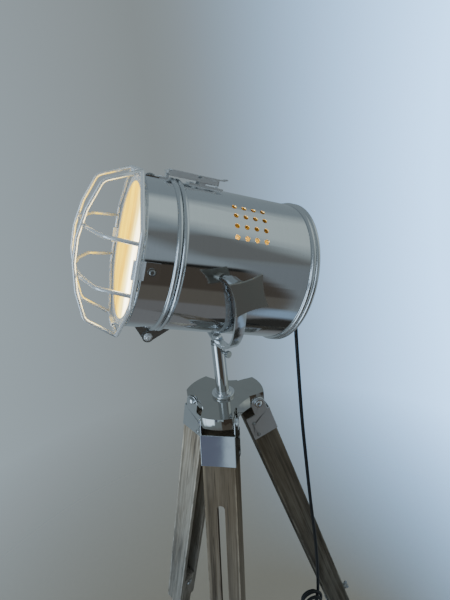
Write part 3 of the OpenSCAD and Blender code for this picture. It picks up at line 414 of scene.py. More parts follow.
def chrome_finish(name, colour, gloss, mirror=1.0):
    """Bright plating: nearly a mirror, with faint smudges and a trace of orange peel."""
    made = Finish(name, Metallic=mirror)
    smudge = made.smudges()
    made.vary("Base Color", made.mix(smudge * 0.5, colour, shade(colour, 0.9)))
    made.vary("Roughness", smudge * 0.05 + gloss)
    made.bump(made.noise(made.place(), 55.0, 2.0), depth=0.04 * MM, strength=0.35)
    return made.material


def spun_finish(name, colour, haze):
    """Spun chrome, streaked and hazy, with a pale coat inside that painted shade darkens on top and at the
    back.
    """
    made = Finish(name)
    here = made.place(BARREL)
    streak = made.noise(made.place(BARREL, SPUN_STREAK), rough=0.65)
    clouds = made.noise(made.place(BARREL, SPUN_CLOUD), 9.0, 4.0, 0.55, distortion=0.8)
    cloud = made.between(clouds, 0.36, 0.70)
    speck = made.between(made.noise(here, 240.0, 2.0, 0.7), 0.68, 0.78)
    from_axis = made.length(made.place(BARREL, (1, 1, 0)))
    outside = made.between(from_axis, SHELL_INSIDE + 0.6 * MM, SHELL_INSIDE + 0.9 * MM)
    beaded = made.between(from_axis, SHELL_OUTSIDE + 0.4 * MM, SHELL_OUTSIDE + 1.2 * MM)
    high = made.between(made.axis(here, "Y"), *SHADED_COAT_HEIGHT)
    deep = made.between(made.axis(here, "Z"), *SHADED_COAT_DEPTH)
    # Painted shade: the coat inside turns near black high up and towards the back of the barrel
    coat = made.mix(high * deep, PALE_COAT, SHADED_COAT)
    worn = made.mix(streak, colour, shade(colour, 0.93))
    plated = made.mix(speck * 0.4, worn, shade(colour, 0.55))
    made.vary("Base Color", made.mix(outside, coat, plated))
    made.vary("Metallic", outside)
    spun = cloud * 0.05 + streak * 0.05 + beaded * 0.11 + haze - 0.055
    made.vary("Roughness", 0.6 - outside * 0.6 + outside * spun)
    made.bump(streak, depth=0.012 * MM, strength=0.2)
    return made.material


def tab_finish(name, colour, gloss):
    """Bright plating, rubbed dull where the tab bends round the guard's ring, with a painted pale bluish
    highlight there.
    """
    made = Finish(name)
    rubbed_and_highlit = made.between(made.axis(made.place(BARREL), "Z"), TAB_BEND - 0.4 * MM, TAB_BEND + 0.4 * MM)
    # Painted highlight: past the bend the plating turns pale bluish white and partly non-metal; the added
    # roughness is rubbing
    made.vary("Base Color", made.mix(rubbed_and_highlit, colour, (0.90, 0.94, 1.0)))
    made.vary("Metallic", 1.0 - rubbed_and_highlit * 0.7)
    made.vary("Roughness", rubbed_and_highlit * 0.45 + made.smudges() * 0.05 + gloss)
    return made.material


def brushed_finish(name, colour, roughness):
    """Pressed steel: dull, with a fine grain and darker rubbed patches."""
    made = Finish(name, Metallic=1.0)
    here = made.place()
    brush = made.noise(here, 120.0, 4.0, 0.7)
    patch = made.between(made.noise(here, 26.0, distortion=0.4), 0.35, 0.7)
    made.vary("Base Color", made.mix(brush * 0.5 + patch * 0.4, colour, shade(colour, 0.68)))
    made.vary("Roughness", brush * 0.12 + patch * 0.06 + roughness)
    made.bump(brush, depth=0.03 * MM, strength=0.4)
    return made.material


# ---- wood, plastic and glass finishes ----

# Wood grain, in features a metre across the leg and along it
FIBRE = (330, 330, 6)
FIGURE = (70, 70, 1.8)
PORES = (520, 520, 14)
WEAR = (14, 14, 3.0)
RUBBING = (90, 90, 22)
# Where the painted light and shade on the wood turns from its high to its low tint, from the hinge bolt down
LIGHT_AND_SHADE_TOP, LIGHT_AND_SHADE_BOTTOM = -120 * MM, -480 * MM


def wood_finish(name, azimuth, wood, top_light_and_shade, bottom_light_and_shade, worn_corners=True):
    """Weathered hardwood: fine fibres down the leg, open pores, greyed patches and pale worn corners, under
    painted light and shade.
    """
    made = Finish(name, Specular_IOR_Level=0.28)
    leg = leg_frame(azimuth)
    here = made.place(leg)
    fibre = made.noise(made.place(leg, FIBRE), detail=6.0, rough=0.68, distortion=0.25)
    figure = made.noise(made.place(leg, FIGURE), detail=4.0, rough=0.6, distortion=1.0)
    pores = made.between(made.noise(made.place(leg, PORES), detail=2.0, rough=0.6), 0.60, 0.70)
    patches = made.noise(made.place(leg, WEAR), detail=5.0, rough=0.65, distortion=0.6)
    wear = made.between(patches, 0.42, 0.64)
    half_pale = [(pale + middle) / 2 for pale, middle in zip(wood.pale, wood.middle)]
    grain = made.ramp(
        fibre * 0.55 + figure * 0.45,
        [(0.36, wood.dark), (0.44, shade(wood.middle, 0.55)), (0.50, wood.middle), (0.57, half_pale),
         (0.66, wood.pale)],
    )
    greyed = made.mix(wear * 0.5, grain, wood.pale)
    timber = made.mix(pores * 0.75, greyed, wood.dark)
    if worn_corners:
        timber = made.mix(worn_corner(made, leg, here) * 0.8, timber, shade(wood.pale, 1.5))
    # Painted light and shade: the leg's wood is lightened or darkened by a tint that changes from its bracket
    # down
    painted_light_and_shade = made.mix(made.between(made.axis(here, "Z"), LIGHT_AND_SHADE_TOP, LIGHT_AND_SHADE_BOTTOM), top_light_and_shade, bottom_light_and_shade)
    made.vary("Base Color", made.mix(1.0, timber, painted_light_and_shade, "MULTIPLY"))
    made.vary("Roughness", 0.80 - wear * 0.12 + pores * 0.1)
    made.bump(fibre * 0.6 + figure * 0.3 - pores * 0.7, depth=0.35 * MM, strength=0.65)
    return made.material


def worn_corner(made, leg, here):
    """How far the wood is rubbed at the leg's long corners, in broken stretches."""
    across = made.maths("ABSOLUTE", made.axis(here, "Y"))
    depth = made.maths("ABSOLUTE", made.axis(here, "X") - LEG_MIDDLE)
    side = made.between(across, LEG_HALF_WIDTH - WORN_FROM, LEG_HALF_WIDTH - WORN_TO)
    rim = made.between(depth, LEG_HALF_DEPTH - WORN_FROM, LEG_HALF_DEPTH - WORN_TO)
    stretches = made.noise(made.place(leg, RUBBING), detail=4.0, rough=0.6)
    return side * rim * made.between(stretches, 0.40, 0.60)


def moulded_finish(name, colour, roughness, grain_scale=900.0):
    """Moulded plastic or rubber: a fine matt grain and slightly uneven colour."""
    made = Finish(name, Specular_IOR_Level=0.4)
    here = made.place()
    grain = made.noise(here, grain_scale, 2.0, 0.6)
    patch = made.noise(here, 30.0)
    made.vary("Base Color", made.mix(patch, shade(colour, 0.75), shade(colour, 1.3)))
    made.vary("Roughness", patch * 0.14 + grain * 0.06 + roughness - 0.1)
    made.bump(grain, depth=0.06 * MM, strength=0.3)
    return made.material


def porcelain_finish(name):
    """Glazed porcelain, slightly uneven in its white."""
    made = Finish(name, Roughness=0.18, Coat_Weight=0.5, Coat_Roughness=0.08)
    made.vary("Base Color", made.mix(made.noise(made.place(), 40.0), (0.82, 0.81, 0.76), (0.92, 0.91, 0.87)))
    return made.material


def lens_finish(name, glow):
    """Frosted, ribbed glass, lit from behind: whitest at its core, amber towards the far rim."""
    made = Finish(name, Roughness=0.6, Emission_Strength=glow.lens_light, Specular_IOR_Level=0.06)
    here = made.place(BARREL)
    across = made.axis(here, "X") - CORE_SIDE
    up = (made.axis(here, "Y") + CORE_LOW) * CORE_SQUEEZE
    from_core = made.length(made.node("ShaderNodeCombineXYZ", None, {0: across, 1: up}))
    ribs = made.noise(made.place(BARREL, (38, 4, 1)), detail=5.0, rough=0.72)
    cloud = made.noise(here, 16.0)
    lit = made.ramp(
        made.between(from_core, GLOW_SIZE, CORE_SIZE),
        [(0.0, glow.lens), (0.45, shade(glow.lens, 1.25)), (0.68, glow.halo), (0.90, glow.core)],
    )
    dimmed = made.mix(1.0, lit, (0.55, 0.46, 0.30), "MULTIPLY")
    made.vary("Base Color", made.mix(ribs, (0.12, 0.085, 0.02), (0.17, 0.125, 0.04)))
    made.vary("Emission Color", made.mix(made.between(ribs * 0.7 + cloud * 0.3, 0.40, 0.60), dimmed, lit))
    made.bump(ribs, depth=0.2 * MM, strength=0.5)
    return made.material


def bulb_finish(name, glow):
    """Opal glass that glows a little unevenly."""
    made = Finish(name, Emission_Strength=glow.bulb_light)
    cloud = made.noise(made.place(BARREL), 30.0, 2.0)
    bright = [min(1.0, part) for part in shade(glow.bulb, 1.25)]
    made.vary("Base Color", made.mix(cloud, (0.92, 0.90, 0.84), (0.98, 0.97, 0.94)))
    made.vary("Emission Color", made.mix(cloud * 0.4, glow.bulb, bright))
    made.vary("Roughness", cloud * 0.1 + 0.25)
    return made.material


# ---- shapes ----


def dress(material, *nodes):
    """Gives CAD nodes their material."""
    for name in nodes:
        piece = frame["nodes"][name]
        if not piece.material_slots:
            piece.data.materials.append(material)
        for held in piece.material_slots:
            held.material = material


def ease_edges(width, *nodes, segments=2):
    """Rounds the sharp edges of CAD nodes, as bent sheet and sawn wood have them."""
    for name in nodes:
        piece = frame["nodes"][name]
        weld = piece.modifiers.new("weld", "WELD")
        weld.merge_threshold = 0.001 * MM
        bevel = piece.modifiers.new("eased edges", "BEVEL")
        bevel.width = width
        bevel.segments = segments
        bevel.limit_method = "ANGLE"
        bevel.angle_limit = math.radians(40)
        bevel.harden_normals = True
        bevel.use_clamp_overlap = True


def new_piece(name, mesh, material, body, slot, *stands_for):
    """A finished mesh in the place of CAD nodes, riding on a body if one is given."""
    piece = bpy.data.objects.new(name, mesh)
    bpy.context.scene.collection.objects.link(piece)
    mesh.materials.append(material)
    for face in mesh.polygons:
        face.use_smooth = True
    if body is not None:
        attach(piece, body)
    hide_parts(*stands_for)
    return piece


def curve_through(points, steps):
    """Smooth curve through the points, with some steps between each pair."""
    out = []
    last = len(points) - 1
    for i in range(last):
        a, b, c, d = (points[k] for k in (max(i - 1, 0), i, i + 1, min(i + 2, last)))
        for s in range(steps):
            t = s / steps
            slope = (c - a) * t
            square = (2 * a - 5 * b + 4 * c - d) * t ** 2
            cube = (3 * b - a - 3 * c + d) * t ** 3
            out.append(0.5 * (2 * b + slope + square + cube))
    return [*out, points[-1]]


def path_length(path):
    return sum((b - a).length for a, b in zip(path, path[1:]))


def bent(points, radius, closed=False):
    """The points' path with a true bend of that radius at each corner."""
    n = len(points)
    out = []
    for i, corner in enumerate(points):
        if not closed and i in (0, n - 1):
            out.append(corner)
            continue
        before = (points[i - 1] - corner).normalized()
        after = (points[(i + 1) % n] - corner).normalized()
        half = before.angle(after) / 2
        middle = corner + (before + after).normalized() * radius / math.sin(half)
        start, end = (
            (corner + way * radius / math.tan(half) - middle).normalized() for way in (before, after)
        )
        out += [middle + radius * start.slerp(end, s / BEND_STEPS) for s in range(BEND_STEPS + 1)]
    return out


def tube_mesh(name, path, radius, sides, closed=False):
    """A round tube along a path, its rings carried along without twist."""
    shape = bmesh.new()
    n = len(path)
    side = None
    rings = []
    for i, at in enumerate(path):
        ahead = path[(i + 1) % n] if closed else path[min(i + 1, n - 1)]
        behind = path[i - 1] if closed else path[max(i - 1, 0)]
        along = (ahead - behind).normalized()
        side = along.orthogonal() if side is None else side
        side = (side - along * side.dot(along)).normalized()
        other = along.cross(side)
        turns = (2 * math.pi * k / sides for k in range(sides))
        spokes = (math.cos(a) * side + math.sin(a) * other for a in turns)
        rings.append([shape.verts.new(at + radius * spoke) for spoke in spokes])
    pairs = [(lower, upper, 0) for lower, upper in zip(rings, rings[1:])]
    if closed:
        pairs.append((rings[-1], rings[0], closing_shift(rings[0], rings[-1])))
    for lower, upper, shift in pairs:
        for k in range(sides):
            m = (k + 1) % sides
            shape.faces.new((lower[k], lower[m], upper[(m + shift) % sides], upper[(k + shift) % sides]))
    if not closed:
        shape.faces.new(reversed(rings[0]))
        shape.faces.new(rings[-1])
    return to_mesh(name, shape)


def closing_shift(first, last):
    """How many places the last ring of a closed tube is turned against the first."""
    return min(range(len(first)), key=lambda k: (last[0].co - first[k].co).length)


def disc_mesh(name, radius, sides):
    """A flat disc about the origin, as a fan of triangles."""
    shape = bmesh.new()
    middle = shape.verts.new((0, 0, 0))
    turns = (2 * math.pi * k / sides for k in range(sides))
    rim = [shape.verts.new((radius * math.cos(a), radius * math.sin(a), 0)) for a in turns]
    for k in range(sides):
        shape.faces.new((middle, rim[(k + 1) % sides], rim[k]))
    return to_mesh(name, shape)


def to_mesh(name, shape):
    """A bmesh as a mesh, its faces turned outward."""
    bmesh.ops.recalc_face_normals(shape, faces=shape.faces)
    mesh = bpy.data.meshes.new(name)
    shape.to_mesh(mesh)
    shape.free()
    return mesh


def joined(name, meshes):
    """Several meshes as one."""
    shape = bmesh.new()
    for mesh in meshes:
        shape.from_mesh(mesh)
        bpy.data.meshes.remove(mesh)
    out = bpy.data.meshes.new(name)
    shape.to_mesh(out)
    shape.free()
    return out


# ---- the lead's route, as the source has it ----


def points_mm(*rows):
    return [Vector(row) * MM for row in rows]


UPPER_ROUTE = points_mm(
    (0, 109, 1239), (0, 114.5, 1235), (0.5, 118.4, 1229), (1, 120.4, 1220), (1.5, 121, 1206), (2, 121, 1186)
)
LOWER_ROUTE = points_mm(
    (2, 121, 1186), (6, 121, 1121), (12, 121, 1041), (20, 122, 961), (27, 124, 881), (31, 127, 821),
    (33, 129.5, 771), (34, 131, 711),
)
# The strain relief's end behind the tilt axis, how far it is under the axis, and the straight start
RELIEF_END, RELIEF_LOW = 126.5 * MM, 45 * MM
STRAIGHT_START = 3 * MM
# The lower lead goes over from the yoke to the head on its way down to this point of its route
# The tied hank: half a run, half its width, the step from layer to layer, and how far the tie draws it in
HANK_CENTRE = Vector((34, 111.8, 602)) * MM
HANK_RUN, HANK_WIDTH = 52 * MM, 20 * MM
HANK_STEP = 6.2 * MM
HANK_WAIST = 0.5
# The turns of the hank at which it begins and ends, and its points for each turn
HANK_FROM, HANK_TO = 0.125, 3.375
HANK_POINTS = 48
TAIL, TAIL_POINTS = 96 * MM, 8


def hank_point(t):
    """A point of the hank after t turns: quarter bend, run down, half bend, run up, quarter bend."""
    turn = math.floor(t + 0.5)
    layer = 0 if turn == 0 else turn - 1 + max(0.0, min(1.0, 2 * (t - turn) + 0.5))
    width = HANK_WIDTH - HANK_STEP * abs((t + 1) % 2 - 1)
    share = t % 1.0
    if share < 1 / 8 or share > 7 / 8:
        bend = 4 * math.pi * share
        up, out = HANK_RUN + width * math.cos(bend), width * math.sin(bend)
    elif 3 / 8 <= share <= 5 / 8:
        bend = 4 * math.pi * (share - 1 / 2)
        up, out = -HANK_RUN - width * math.cos(bend), -width * math.sin(bend)
    else:
        down = share < 1 / 2
        up = HANK_RUN * (2 - 8 * share if down else 8 * share - 6)
        drawn = 1 - HANK_WAIST * math.cos(math.pi / 2 * up / HANK_RUN) ** 2
        out = (width if down else -width) * drawn
    return HANK_CENTRE + Vector((HANK_STEP * layer, out, up))


def lower_lead_path():
    """The lead from the yoke down, round the hank's turns and down to the plug."""
    steps = round((HANK_TO - HANK_FROM) * HANK_POINTS)
    hank = [hank_point(HANK_FROM + i / HANK_POINTS) for i in range(steps + 1)]
    tail = [hank[-1] - Vector((0, 0, TAIL * (k + 1) / TAIL_POINTS)) for k in range(TAIL_POINTS)]
    return [*curve_through([*LOWER_ROUTE, hank[0]], 6)[:-1], *hank, *tail]


# ---- the wire guard ----


def guard_ring(bend_radius):
    """The ring's path: an octagon with bent corners."""
    turns = (math.pi / 4 * (i + 0.5) for i in range(8))
    corners = [barrel_point(RING_CORNER * math.cos(a), RING_CORNER * math.sin(a), RING_AT) for a in turns]
    return bent(corners, bend_radius, closed=True)


def bar_path(nest):
    """A bar from one flat of the ring to the other, as pairs of reach and rise, sunk by the nest."""
    flat = RING_CORNER * math.cos(math.pi / 8)
    half = [(reach * MM, rise * MM - nest) for reach, rise in BAR_BENDS]
    return [(flat, 0.0), *half, *((-reach, rise) for reach, rise in reversed(half)), (-flat, 0.0)]


def guard_bars(bend_radius):
    """The paths of the two upright and the two level bars."""
    upright_bar = RING_CORNER * math.sin(math.pi / 8)
    paths = []
    for side in (-1, 1):
        upright = [barrel_point(side * upright_bar, reach, RING_AT + rise) for reach, rise in bar_path(0)]
        level = [
            barrel_point(reach, side * LEVEL_BAR, RING_AT + rise) for reach, rise in bar_path(LEVEL_BAR_NEST)
        ]
        paths += [bent(upright, bend_radius), bent(level, bend_radius)]
    return paths


# ---- the studio ----

SENSOR_WIDTH = 36.0
NEAR_CLIP, FAR_CLIP = 0.02, 50.0
FLOOR_RADIUS, FLOOR_SIDES = 3.0, 128
FLOOR_FADE = (0.5, 1.7)

# The backdrop's turns of tone, from the camera's left (-) to its right (+)
LEFT_FADE = (-0.12, -0.48)
RIGHT_FADE, RIGHT_CURVE = (-0.15, 0.45), 2.4
# The glow between the panels, near the floor and above, and the heights in degrees where it changes
FLOOR_GLOW, SIDE_GLOW = (0.17, 0.18, 0.19), (0.22, 0.27, 0.30)
GLOW_HEIGHTS = (-66.0, -48.0)

# A soft panel round the lamp, in degrees: bearings from straight behind the camera, + to its right,
# heights over the level, and half the width of its soft edge; a later panel covers an earlier one
SoftPanel = namedtuple("SoftPanel", "left right low high edge tone")
SOFT_PANELS = (
    SoftPanel(-15, 44, -90, -1, 1.2, (0.145, 0.15, 0.155)),
    SoftPanel(-15, 44, -60, -1, 1.2, (0.105, 0.10, 0.088)),
    SoftPanel(-15, 44, -36, -1, 1.2, (0.064, 0.056, 0.047)),
    SoftPanel(-15, 44, -5, -1.5, 0.8, (0.010, 0.011, 0.010)),
    SoftPanel(20, 41, 1, 30, 3, (0.24, 0.29, 0.33)),
    SoftPanel(44, 66, -50, 8, 2, (0.175, 0.205, 0.23)),
    SoftPanel(41, 66, 9, 38, 4, (0.14, 0.152, 0.155)),
    SoftPanel(70, 132, -40, 70, 10, (0.47, 0.565, 0.58)),
    SoftPanel(92, 156, -60, 0, 10, (0.22, 0.27, 0.31)),
    SoftPanel(40, 92, -69, -56, 3, (0.25, 0.37, 0.52)),
    SoftPanel(54, 180, -90, -70, 3, (0.03, 0.031, 0.029)),
    SoftPanel(-31, -23.9, -26, 20, 0.3, (0.115, 0.135, 0.19)),
    SoftPanel(-23.9, -8, -26, 20, 0.3, (0.38, 0.50, 0.60)),
    SoftPanel(-62, -33, -42, 35, 3, (1.5, 2.0, 2.5)),
)

LIGHT_TARGET = Vector((0, 0, 1.15))
SoftLight = namedtuple("SoftLight", "name size place colour")
SOFT_LIGHTS = (
    SoftLight("key", (1.5, 1.9), Vector((1.3, -2.2, 1.9)), (0.90, 0.95, 1.0)),
    SoftLight("fill", (1.8, 1.8), Vector((1.6, 2.0, 2.6)), (1.0, 0.97, 0.93)),
)


def floor_finish(stage):
    """Plain matt paint that fades out towards the backdrop."""
    paint = Finish("floor", Roughness=0.9, Specular_IOR_Level=0.1)
    grain = paint.noise(paint.place(), 60.0)
    paint.vary("Base Color", paint.mix(grain, shade(stage.floor, 0.95), stage.floor))
    from_middle = paint.length(paint.place(None, (1, 1, 0)))
    paint.vary("Alpha", paint.between(from_middle, *FLOOR_FADE, 1.0, 0.0))
    return paint.material


def studio_world(stage, heading):
    """World light: the camera sees a plain backdrop, and the metal sees soft panels all round."""
    world = bpy.data.worlds.new("studio")
    world.use_nodes = True
    world.node_tree.nodes.clear()
    sky = Tree(world.node_tree)
    way = sky.node("ShaderNodeTexCoord", output=0)
    x, y, z = (sky.axis(way, name) for name in "XYZ")
    sideways = x * math.cos(heading) + y * math.sin(heading)
    backwards = x * math.sin(heading) - y * math.cos(heading)
    bearing = sky.maths("ARCTAN2", sideways, backwards) * math.degrees(1)
    height = sky.maths("ARCSINE", z) * math.degrees(1)
    dim = sky.mix(sky.between(sideways, *LEFT_FADE), stage.backdrop_dim, stage.backdrop_left)
    backdrop = sky.mix(sky.between(sideways, *RIGHT_FADE) ** RIGHT_CURVE, dim, stage.backdrop_bright)
    around = sky.mix(sky.between(height, *GLOW_HEIGHTS), FLOOR_GLOW, SIDE_GLOW)
    for panel in SOFT_PANELS:
        across = soft_span(sky, bearing, panel.left, panel.right, panel.edge)
        upright = soft_span(sky, height, panel.low, panel.high, panel.edge)
        around = sky.mix(across * upright, around, panel.tone)
    camera_ray = sky.node("ShaderNodeLightPath", output=0)
    shown = sky.mix(camera_ray, around, backdrop)
    glow = sky.node("ShaderNodeBackground", None, {"Color": shown, "Strength": 1.0})
    sky.node("ShaderNodeOutputWorld", None, {"Surface": glow})
    return world


def soft_span(sky, angle, start, end, edge):
    """1 between two angles, with a soft edge, and 0 outside."""
    return sky.between(angle, start - edge, start + edge) * sky.between(angle, end + edge, end - edge)


def hang_light(scene, light, power):
    """A soft area light that shows neither in the picture nor in the metal."""
    lamp = bpy.data.lights.new(light.name, "AREA")
    lamp.shape = "RECTANGLE"
    lamp.size, lamp.size_y = light.size
    lamp.energy = power
    lamp.color = light.colour
    holder = bpy.data.objects.new(light.name, lamp)
    holder.location = light.place
    holder.rotation_euler = (LIGHT_TARGET - light.place).to_track_quat("-Z", "Y").to_euler()
    holder.visible_camera = False
    holder.visible_glossy = False
    scene.collection.objects.link(holder)


# ---- operators ----


class SPOTLIGHT_OT_camera(bpy.types.Operator):
    """Stand the camera where the photograph was taken"""

    bl_idname = "spotlight.camera"
    bl_label = "Camera"
    bl_options = {"REGISTER", "UNDO"}

    def execute(self, context):
        seen = context.scene.spotlight.camera
        turn, dip, lean = seen.heading, seen.pitch, seen.roll
        level = Vector((math.cos(turn), math.sin(turn), 0))
        ahead = Vector((-math.sin(turn) * math.cos(dip), math.cos(turn) * math.cos(dip), -math.sin(dip)))
        above = level.cross(ahead)
        right = math.cos(lean) * level + math.sin(lean) * above
        up = math.cos(lean) * above - math.sin(lean) * level
        facing = Matrix((right, up, -ahead)).transposed().to_4x4()
        eye = bpy.data.cameras.new("camera")
        eye.sensor_fit = "AUTO"
        eye.sensor_width = SENSOR_WIDTH
        eye.lens = seen.lens
        eye.clip_start, eye.clip_end = NEAR_CLIP, FAR_CLIP
        holder = bpy.data.objects.new("camera", eye)
        holder.matrix_world = Matrix.Translation(seen.place) @ facing
        context.scene.collection.objects.link(holder)
        context.scene.camera = holder
        return {"FINISHED"}


class SPOTLIGHT_OT_cord(bpy.types.Operator):
    """Hang the mains lead from its gland, with its spare length in a tied hank and its plug"""

    bl_idname = "spotlight.cord"
    bl_label = "Cord"
    bl_options = {"REGISTER", "UNDO"}

    def execute(self, context):
        lead = context.scene.spotlight.cord
        radius = lead.diameter / 2
        sheath = moulded_finish("lead sheath", (0.012, 0.012, 0.013), 0.42, 1400.0)

        start = barrel_point(0, -RELIEF_LOW, -RELIEF_END)
        straight_end = barrel_point(0, -RELIEF_LOW, -RELIEF_END - STRAIGHT_START)
        upper_path = curve_through([start, straight_end, *UPPER_ROUTE], 4)
        upper_mesh = tube_mesh("lead_upper", upper_path, radius, lead.sides)
        upper = new_piece("lead_upper", upper_mesh, sheath, None, "cord_sheath", "cord_upper")
        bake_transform(upper)
        path_length(upper_path)

        lower_path = lower_lead_path()
        lower_mesh = tube_mesh("lead_lower", lower_path, radius, lead.sides)
        lower = new_piece("lead_lower", lower_mesh, sheath, None, "cord_sheath", "cord_lower", "cord_hank")
        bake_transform(lower)
        path_length(lower_path)

        plastic = moulded_finish("black plastic", (0.018, 0.018, 0.019), 0.42)
        dress(plastic, "cord_plug", "cord_tie", "cord_gland")
        dress(brushed_finish("plug pins", (0.62, 0.61, 0.58), 0.2), "plug_pins")
        ease_edges(1.2 * MM, "cord_plug", segments=3)
        ease_edges(0.4 * MM, "cord_tie", "cord_gland")
        ease_edges(0.6 * MM, "plug_pins", segments=3)
        return {"FINISHED"}


class SPOTLIGHT_OT_barrel(bpy.types.Operator):
    """Finish the spun barrel, its hood, their hinge and the sheet parts on them"""

    bl_idname = "spotlight.barrel"
    bl_label = "Barrel and hood"
    bl_options = {"REGISTER", "UNDO"}

    def execute(self, context):
        metal = context.scene.spotlight.metal
        spun = spun_finish("spun chrome", metal.chrome, metal.haze)
        dress(spun, "barrel_shell", "hood_shell", "rear_cap")
        dress(tab_finish("tab chrome", metal.chrome, metal.gloss + 0.06), "guard_tabs")
        dress(chrome_finish("barrel chrome", metal.chrome, metal.gloss), "tilt_spacers")
        zinc = brushed_finish("zinc steel", metal.steel, 0.24)
        dress(zinc, "joint_sleeve", "lens_ring", "barrel_hinge_leaf", "hood_hinge_leaf")
        ease_edges(0.3 * MM, "lens_ring", "barrel_hinge_leaf", "hood_hinge_leaf")
        return {"FINISHED"}


class SPOTLIGHT_OT_latch(bpy.types.Operator):
    """Finish the toggle latch and the bolt of the hinge across from it"""

    bl_idname = "spotlight.latch"
    bl_label = "Latch and hinge bolt"
    bl_options = {"REGISTER", "UNDO"}

    def execute(self, context):
        metal = context.scene.spotlight.metal
        pressed = chrome_finish("latch chrome", shade(metal.chrome, 1.28), metal.gloss + 0.22, mirror=0.75)
        pieces = ("latch_base", "latch_lever", "latch_bail", "latch_catch", "hinge_bolt")
        dress(pressed, *pieces)
        ease_edges(0.3 * MM, *pieces)
        return {"FINISHED"}


class SPOTLIGHT_OT_guard(bpy.types.Operator):
    """Bend the guard's ring and bars from round rod"""

    bl_idname = "spotlight.guard"
    bl_label = "Wire guard"
    bl_options = {"REGISTER", "UNDO"}

    def execute(self, context):
        settings = context.scene.spotlight
        guard, metal = settings.guard, settings.metal
        rods = [tube_mesh("ring", guard_ring(guard.ring_bend), RING_ROD, guard.sides, closed=True)]
        rods += [tube_mesh("bar", path, BAR_ROD, guard.sides) for path in guard_bars(guard.bar_bend)]
        plating = chrome_finish("guard chrome", shade(metal.chrome, 1.26), metal.gloss + 0.16, mirror=0.55)
        new_piece("wire_guard", joined("wire_guard", rods), plating, "hood", "chrome", "guard")
        return {"FINISHED"}


class SPOTLIGHT_OT_lamp(bpy.types.Operator):
    """Light the frosted lens and the bulb in its holder"""

    bl_idname = "spotlight.lamp"
    bl_label = "Lens and bulb"
    bl_options = {"REGISTER", "UNDO"}

    def execute(self, context):
        glow = context.scene.spotlight.glow
        dress(lens_finish("frosted lens", glow), "lens")
        dress(bulb_finish("opal bulb", glow), "bulb")
        dress(porcelain_finish("glazed porcelain"), "lamp_holder")
        ease_edges(0.8 * MM, "lamp_holder", segments=3)
        return {"FINISHED"}


class SPOTLIGHT_OT_yoke(bpy.types.Operator):
    """Finish the yoke, the stem, the star knobs, the tripod's head plate and the small fasteners"""

    bl_idname = "spotlight.yoke"
    bl_label = "Yoke, stem and head"
    bl_options = {"REGISTER", "UNDO"}

    def execute(self, context):
        metal = context.scene.spotlight.metal
        bright = chrome_finish("bright chrome", metal.chrome, metal.gloss)
        dress(bright, "stem_collar", "stem_tube", "yoke_nut", "leg_bolts")
        dress(chrome_finish("satin chrome", metal.chrome, metal.gloss + 0.10), "yoke_strip")
        dress(chrome_finish("cast plate", metal.cast, metal.gloss), "head_plate")
        dress(brushed_finish("knob plate", metal.brushed, 0.30), "near_knob", "far_knob")
        zinc = brushed_finish("zinc fasteners", metal.steel, 0.20)
        dress(zinc, "stem_nut", "yoke_spigot", "tilt_studs", "cap_screws", "tab_screws", "thumb_screw")
        ease_edges(0.3 * MM, "yoke_strip", "yoke_nut", "stem_collar", "thumb_screw", "stem_nut", "tab_screws")
        ease_edges(0.6 * MM, "near_knob", "far_knob", segments=3)
        ease_edges(0.8 * MM, "head_plate", segments=3)
        return {"FINISHED"}


class SPOTLIGHT_OT_legs(bpy.types.Operator):
    """Finish the wooden legs, their brackets, feet and fasteners"""

    bl_idname = "spotlight.legs"
    bl_label = "Legs"
    bl_options = {"REGISTER", "UNDO"}

    # Painted light and shade: how much each leg's wood is lightened or darkened by its bracket, and further
    # down
    light_and_shade_tints = {
        "front": ((0.66, 0.58, 0.48), (0.92, 0.93, 0.94)),
        "left": ((1.60, 1.56, 1.50), (1.02, 1.06, 1.12)),
        "rear": ((0.52, 0.48, 0.42), (0.55, 0.56, 0.55)),
    }

    def execute(self, context):
        settings = context.scene.spotlight
        metal, wood = settings.metal, settings.wood
        bright = chrome_finish("bracket chrome", metal.chrome, metal.gloss)
        dull = chrome_finish("dull bracket", shade(metal.chrome, 1.1), metal.gloss + 0.25)
        zinc = brushed_finish("leg fasteners", metal.steel, 0.22)
        rubber = moulded_finish("foot rubber", (0.022, 0.022, 0.022), 0.62)
        for leg, azimuth in LEGS.items():
            light_and_shade_tints = self.light_and_shade_tints[leg]
            dress(wood_finish(f"{leg} leg wood", azimuth, wood, *light_and_shade_tints), f"{leg}_upper_leg")
            batten = wood_finish(f"{leg} batten wood", azimuth, wood, *light_and_shade_tints, worn_corners=False)
            dress(batten, f"{leg}_lower_leg")
            dress(dull if leg == "rear" else bright, f"{leg}_bracket")
            dress(zinc, f"{leg}_nails", f"{leg}_clamp_bolt", f"{leg}_wing_nut")
            dress(rubber, f"{leg}_foot")
            ease_edges(1.2 * MM, f"{leg}_upper_leg", f"{leg}_lower_leg", segments=3)
            ease_edges(0.7 * MM, f"{leg}_bracket", segments=3)
            ease_edges(0.4 * MM, f"{leg}_wing_nut", f"{leg}_clamp_bolt")
            ease_edges(1.5 * MM, f"{leg}_foot", segments=3)
        return {"FINISHED"}


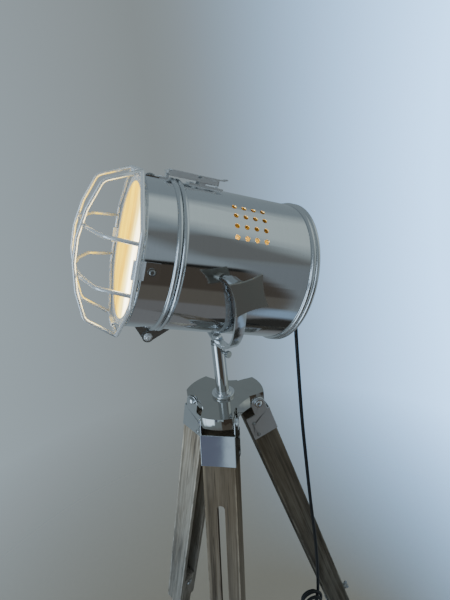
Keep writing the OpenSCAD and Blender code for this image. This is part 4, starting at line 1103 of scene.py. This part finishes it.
class SPOTLIGHT_OT_stage(bpy.types.Operator):
    """Lay the plain floor and set the soft studio light"""

    bl_idname = "spotlight.stage"
    bl_label = "Stage"
    bl_options = {"REGISTER", "UNDO"}

    def execute(self, context):
        scene = context.scene
        stage = scene.spotlight.stage
        sheet = disc_mesh("floor", FLOOR_RADIUS, FLOOR_SIDES)
        sheet.materials.append(floor_finish(stage))
        floor = bpy.data.objects.new("floor", sheet)
        floor.visible_glossy = False
        scene.collection.objects.link(floor)
        scene.world = studio_world(stage, scene.spotlight.camera.heading)
        for light in SOFT_LIGHTS:
            hang_light(scene, light, getattr(stage, light.name))
        return {"FINISHED"}


class SPOTLIGHT_PT_panel(bpy.types.Panel):
    """The steps of the build, in order, with their sizes and colours"""

    bl_idname = "SPOTLIGHT_PT_panel"
    bl_label = "Tripod spotlight"
    bl_space_type = "VIEW_3D"
    bl_region_type = "UI"
    bl_category = "Spotlight"

    def draw(self, context):
        settings = context.scene.spotlight
        for group in ("camera", "metal", "wood", "glow", "cord", "guard", "stage"):
            box = self.layout.box()
            box.label(text=group.capitalize())
            part = getattr(settings, group)
            for name in part.__annotations__:
                box.prop(part, name)
        for step in STEPS:
            self.layout.operator(step.bl_idname)


# ---- the build ----

STEPS = (
    SPOTLIGHT_OT_camera,
    SPOTLIGHT_OT_cord,
    SPOTLIGHT_OT_barrel,
    SPOTLIGHT_OT_latch,
    SPOTLIGHT_OT_guard,
    SPOTLIGHT_OT_lamp,
    SPOTLIGHT_OT_yoke,
    SPOTLIGHT_OT_legs,
    SPOTLIGHT_OT_stage,
)
GROUPS = (
    CameraSettings,
    MetalSettings,
    WoodSettings,
    GlowSettings,
    CordSettings,
    GuardSettings,
    StageSettings,
    SpotlightSettings,
)


def register():
    for part in (*GROUPS, *STEPS, SPOTLIGHT_PT_panel):
        bpy.utils.register_class(part)
    bpy.types.Scene.spotlight = PointerProperty(type=SpotlightSettings)


def unregister():
    del bpy.types.Scene.spotlight
    for part in reversed((*GROUPS, *STEPS, SPOTLIGHT_PT_panel)):
        bpy.utils.unregister_class(part)


def main():
    register()
    for step in STEPS:
        getattr(bpy.ops.spotlight, step.bl_idname.split(".")[1])()


if __name__ == "__main__":
    main()
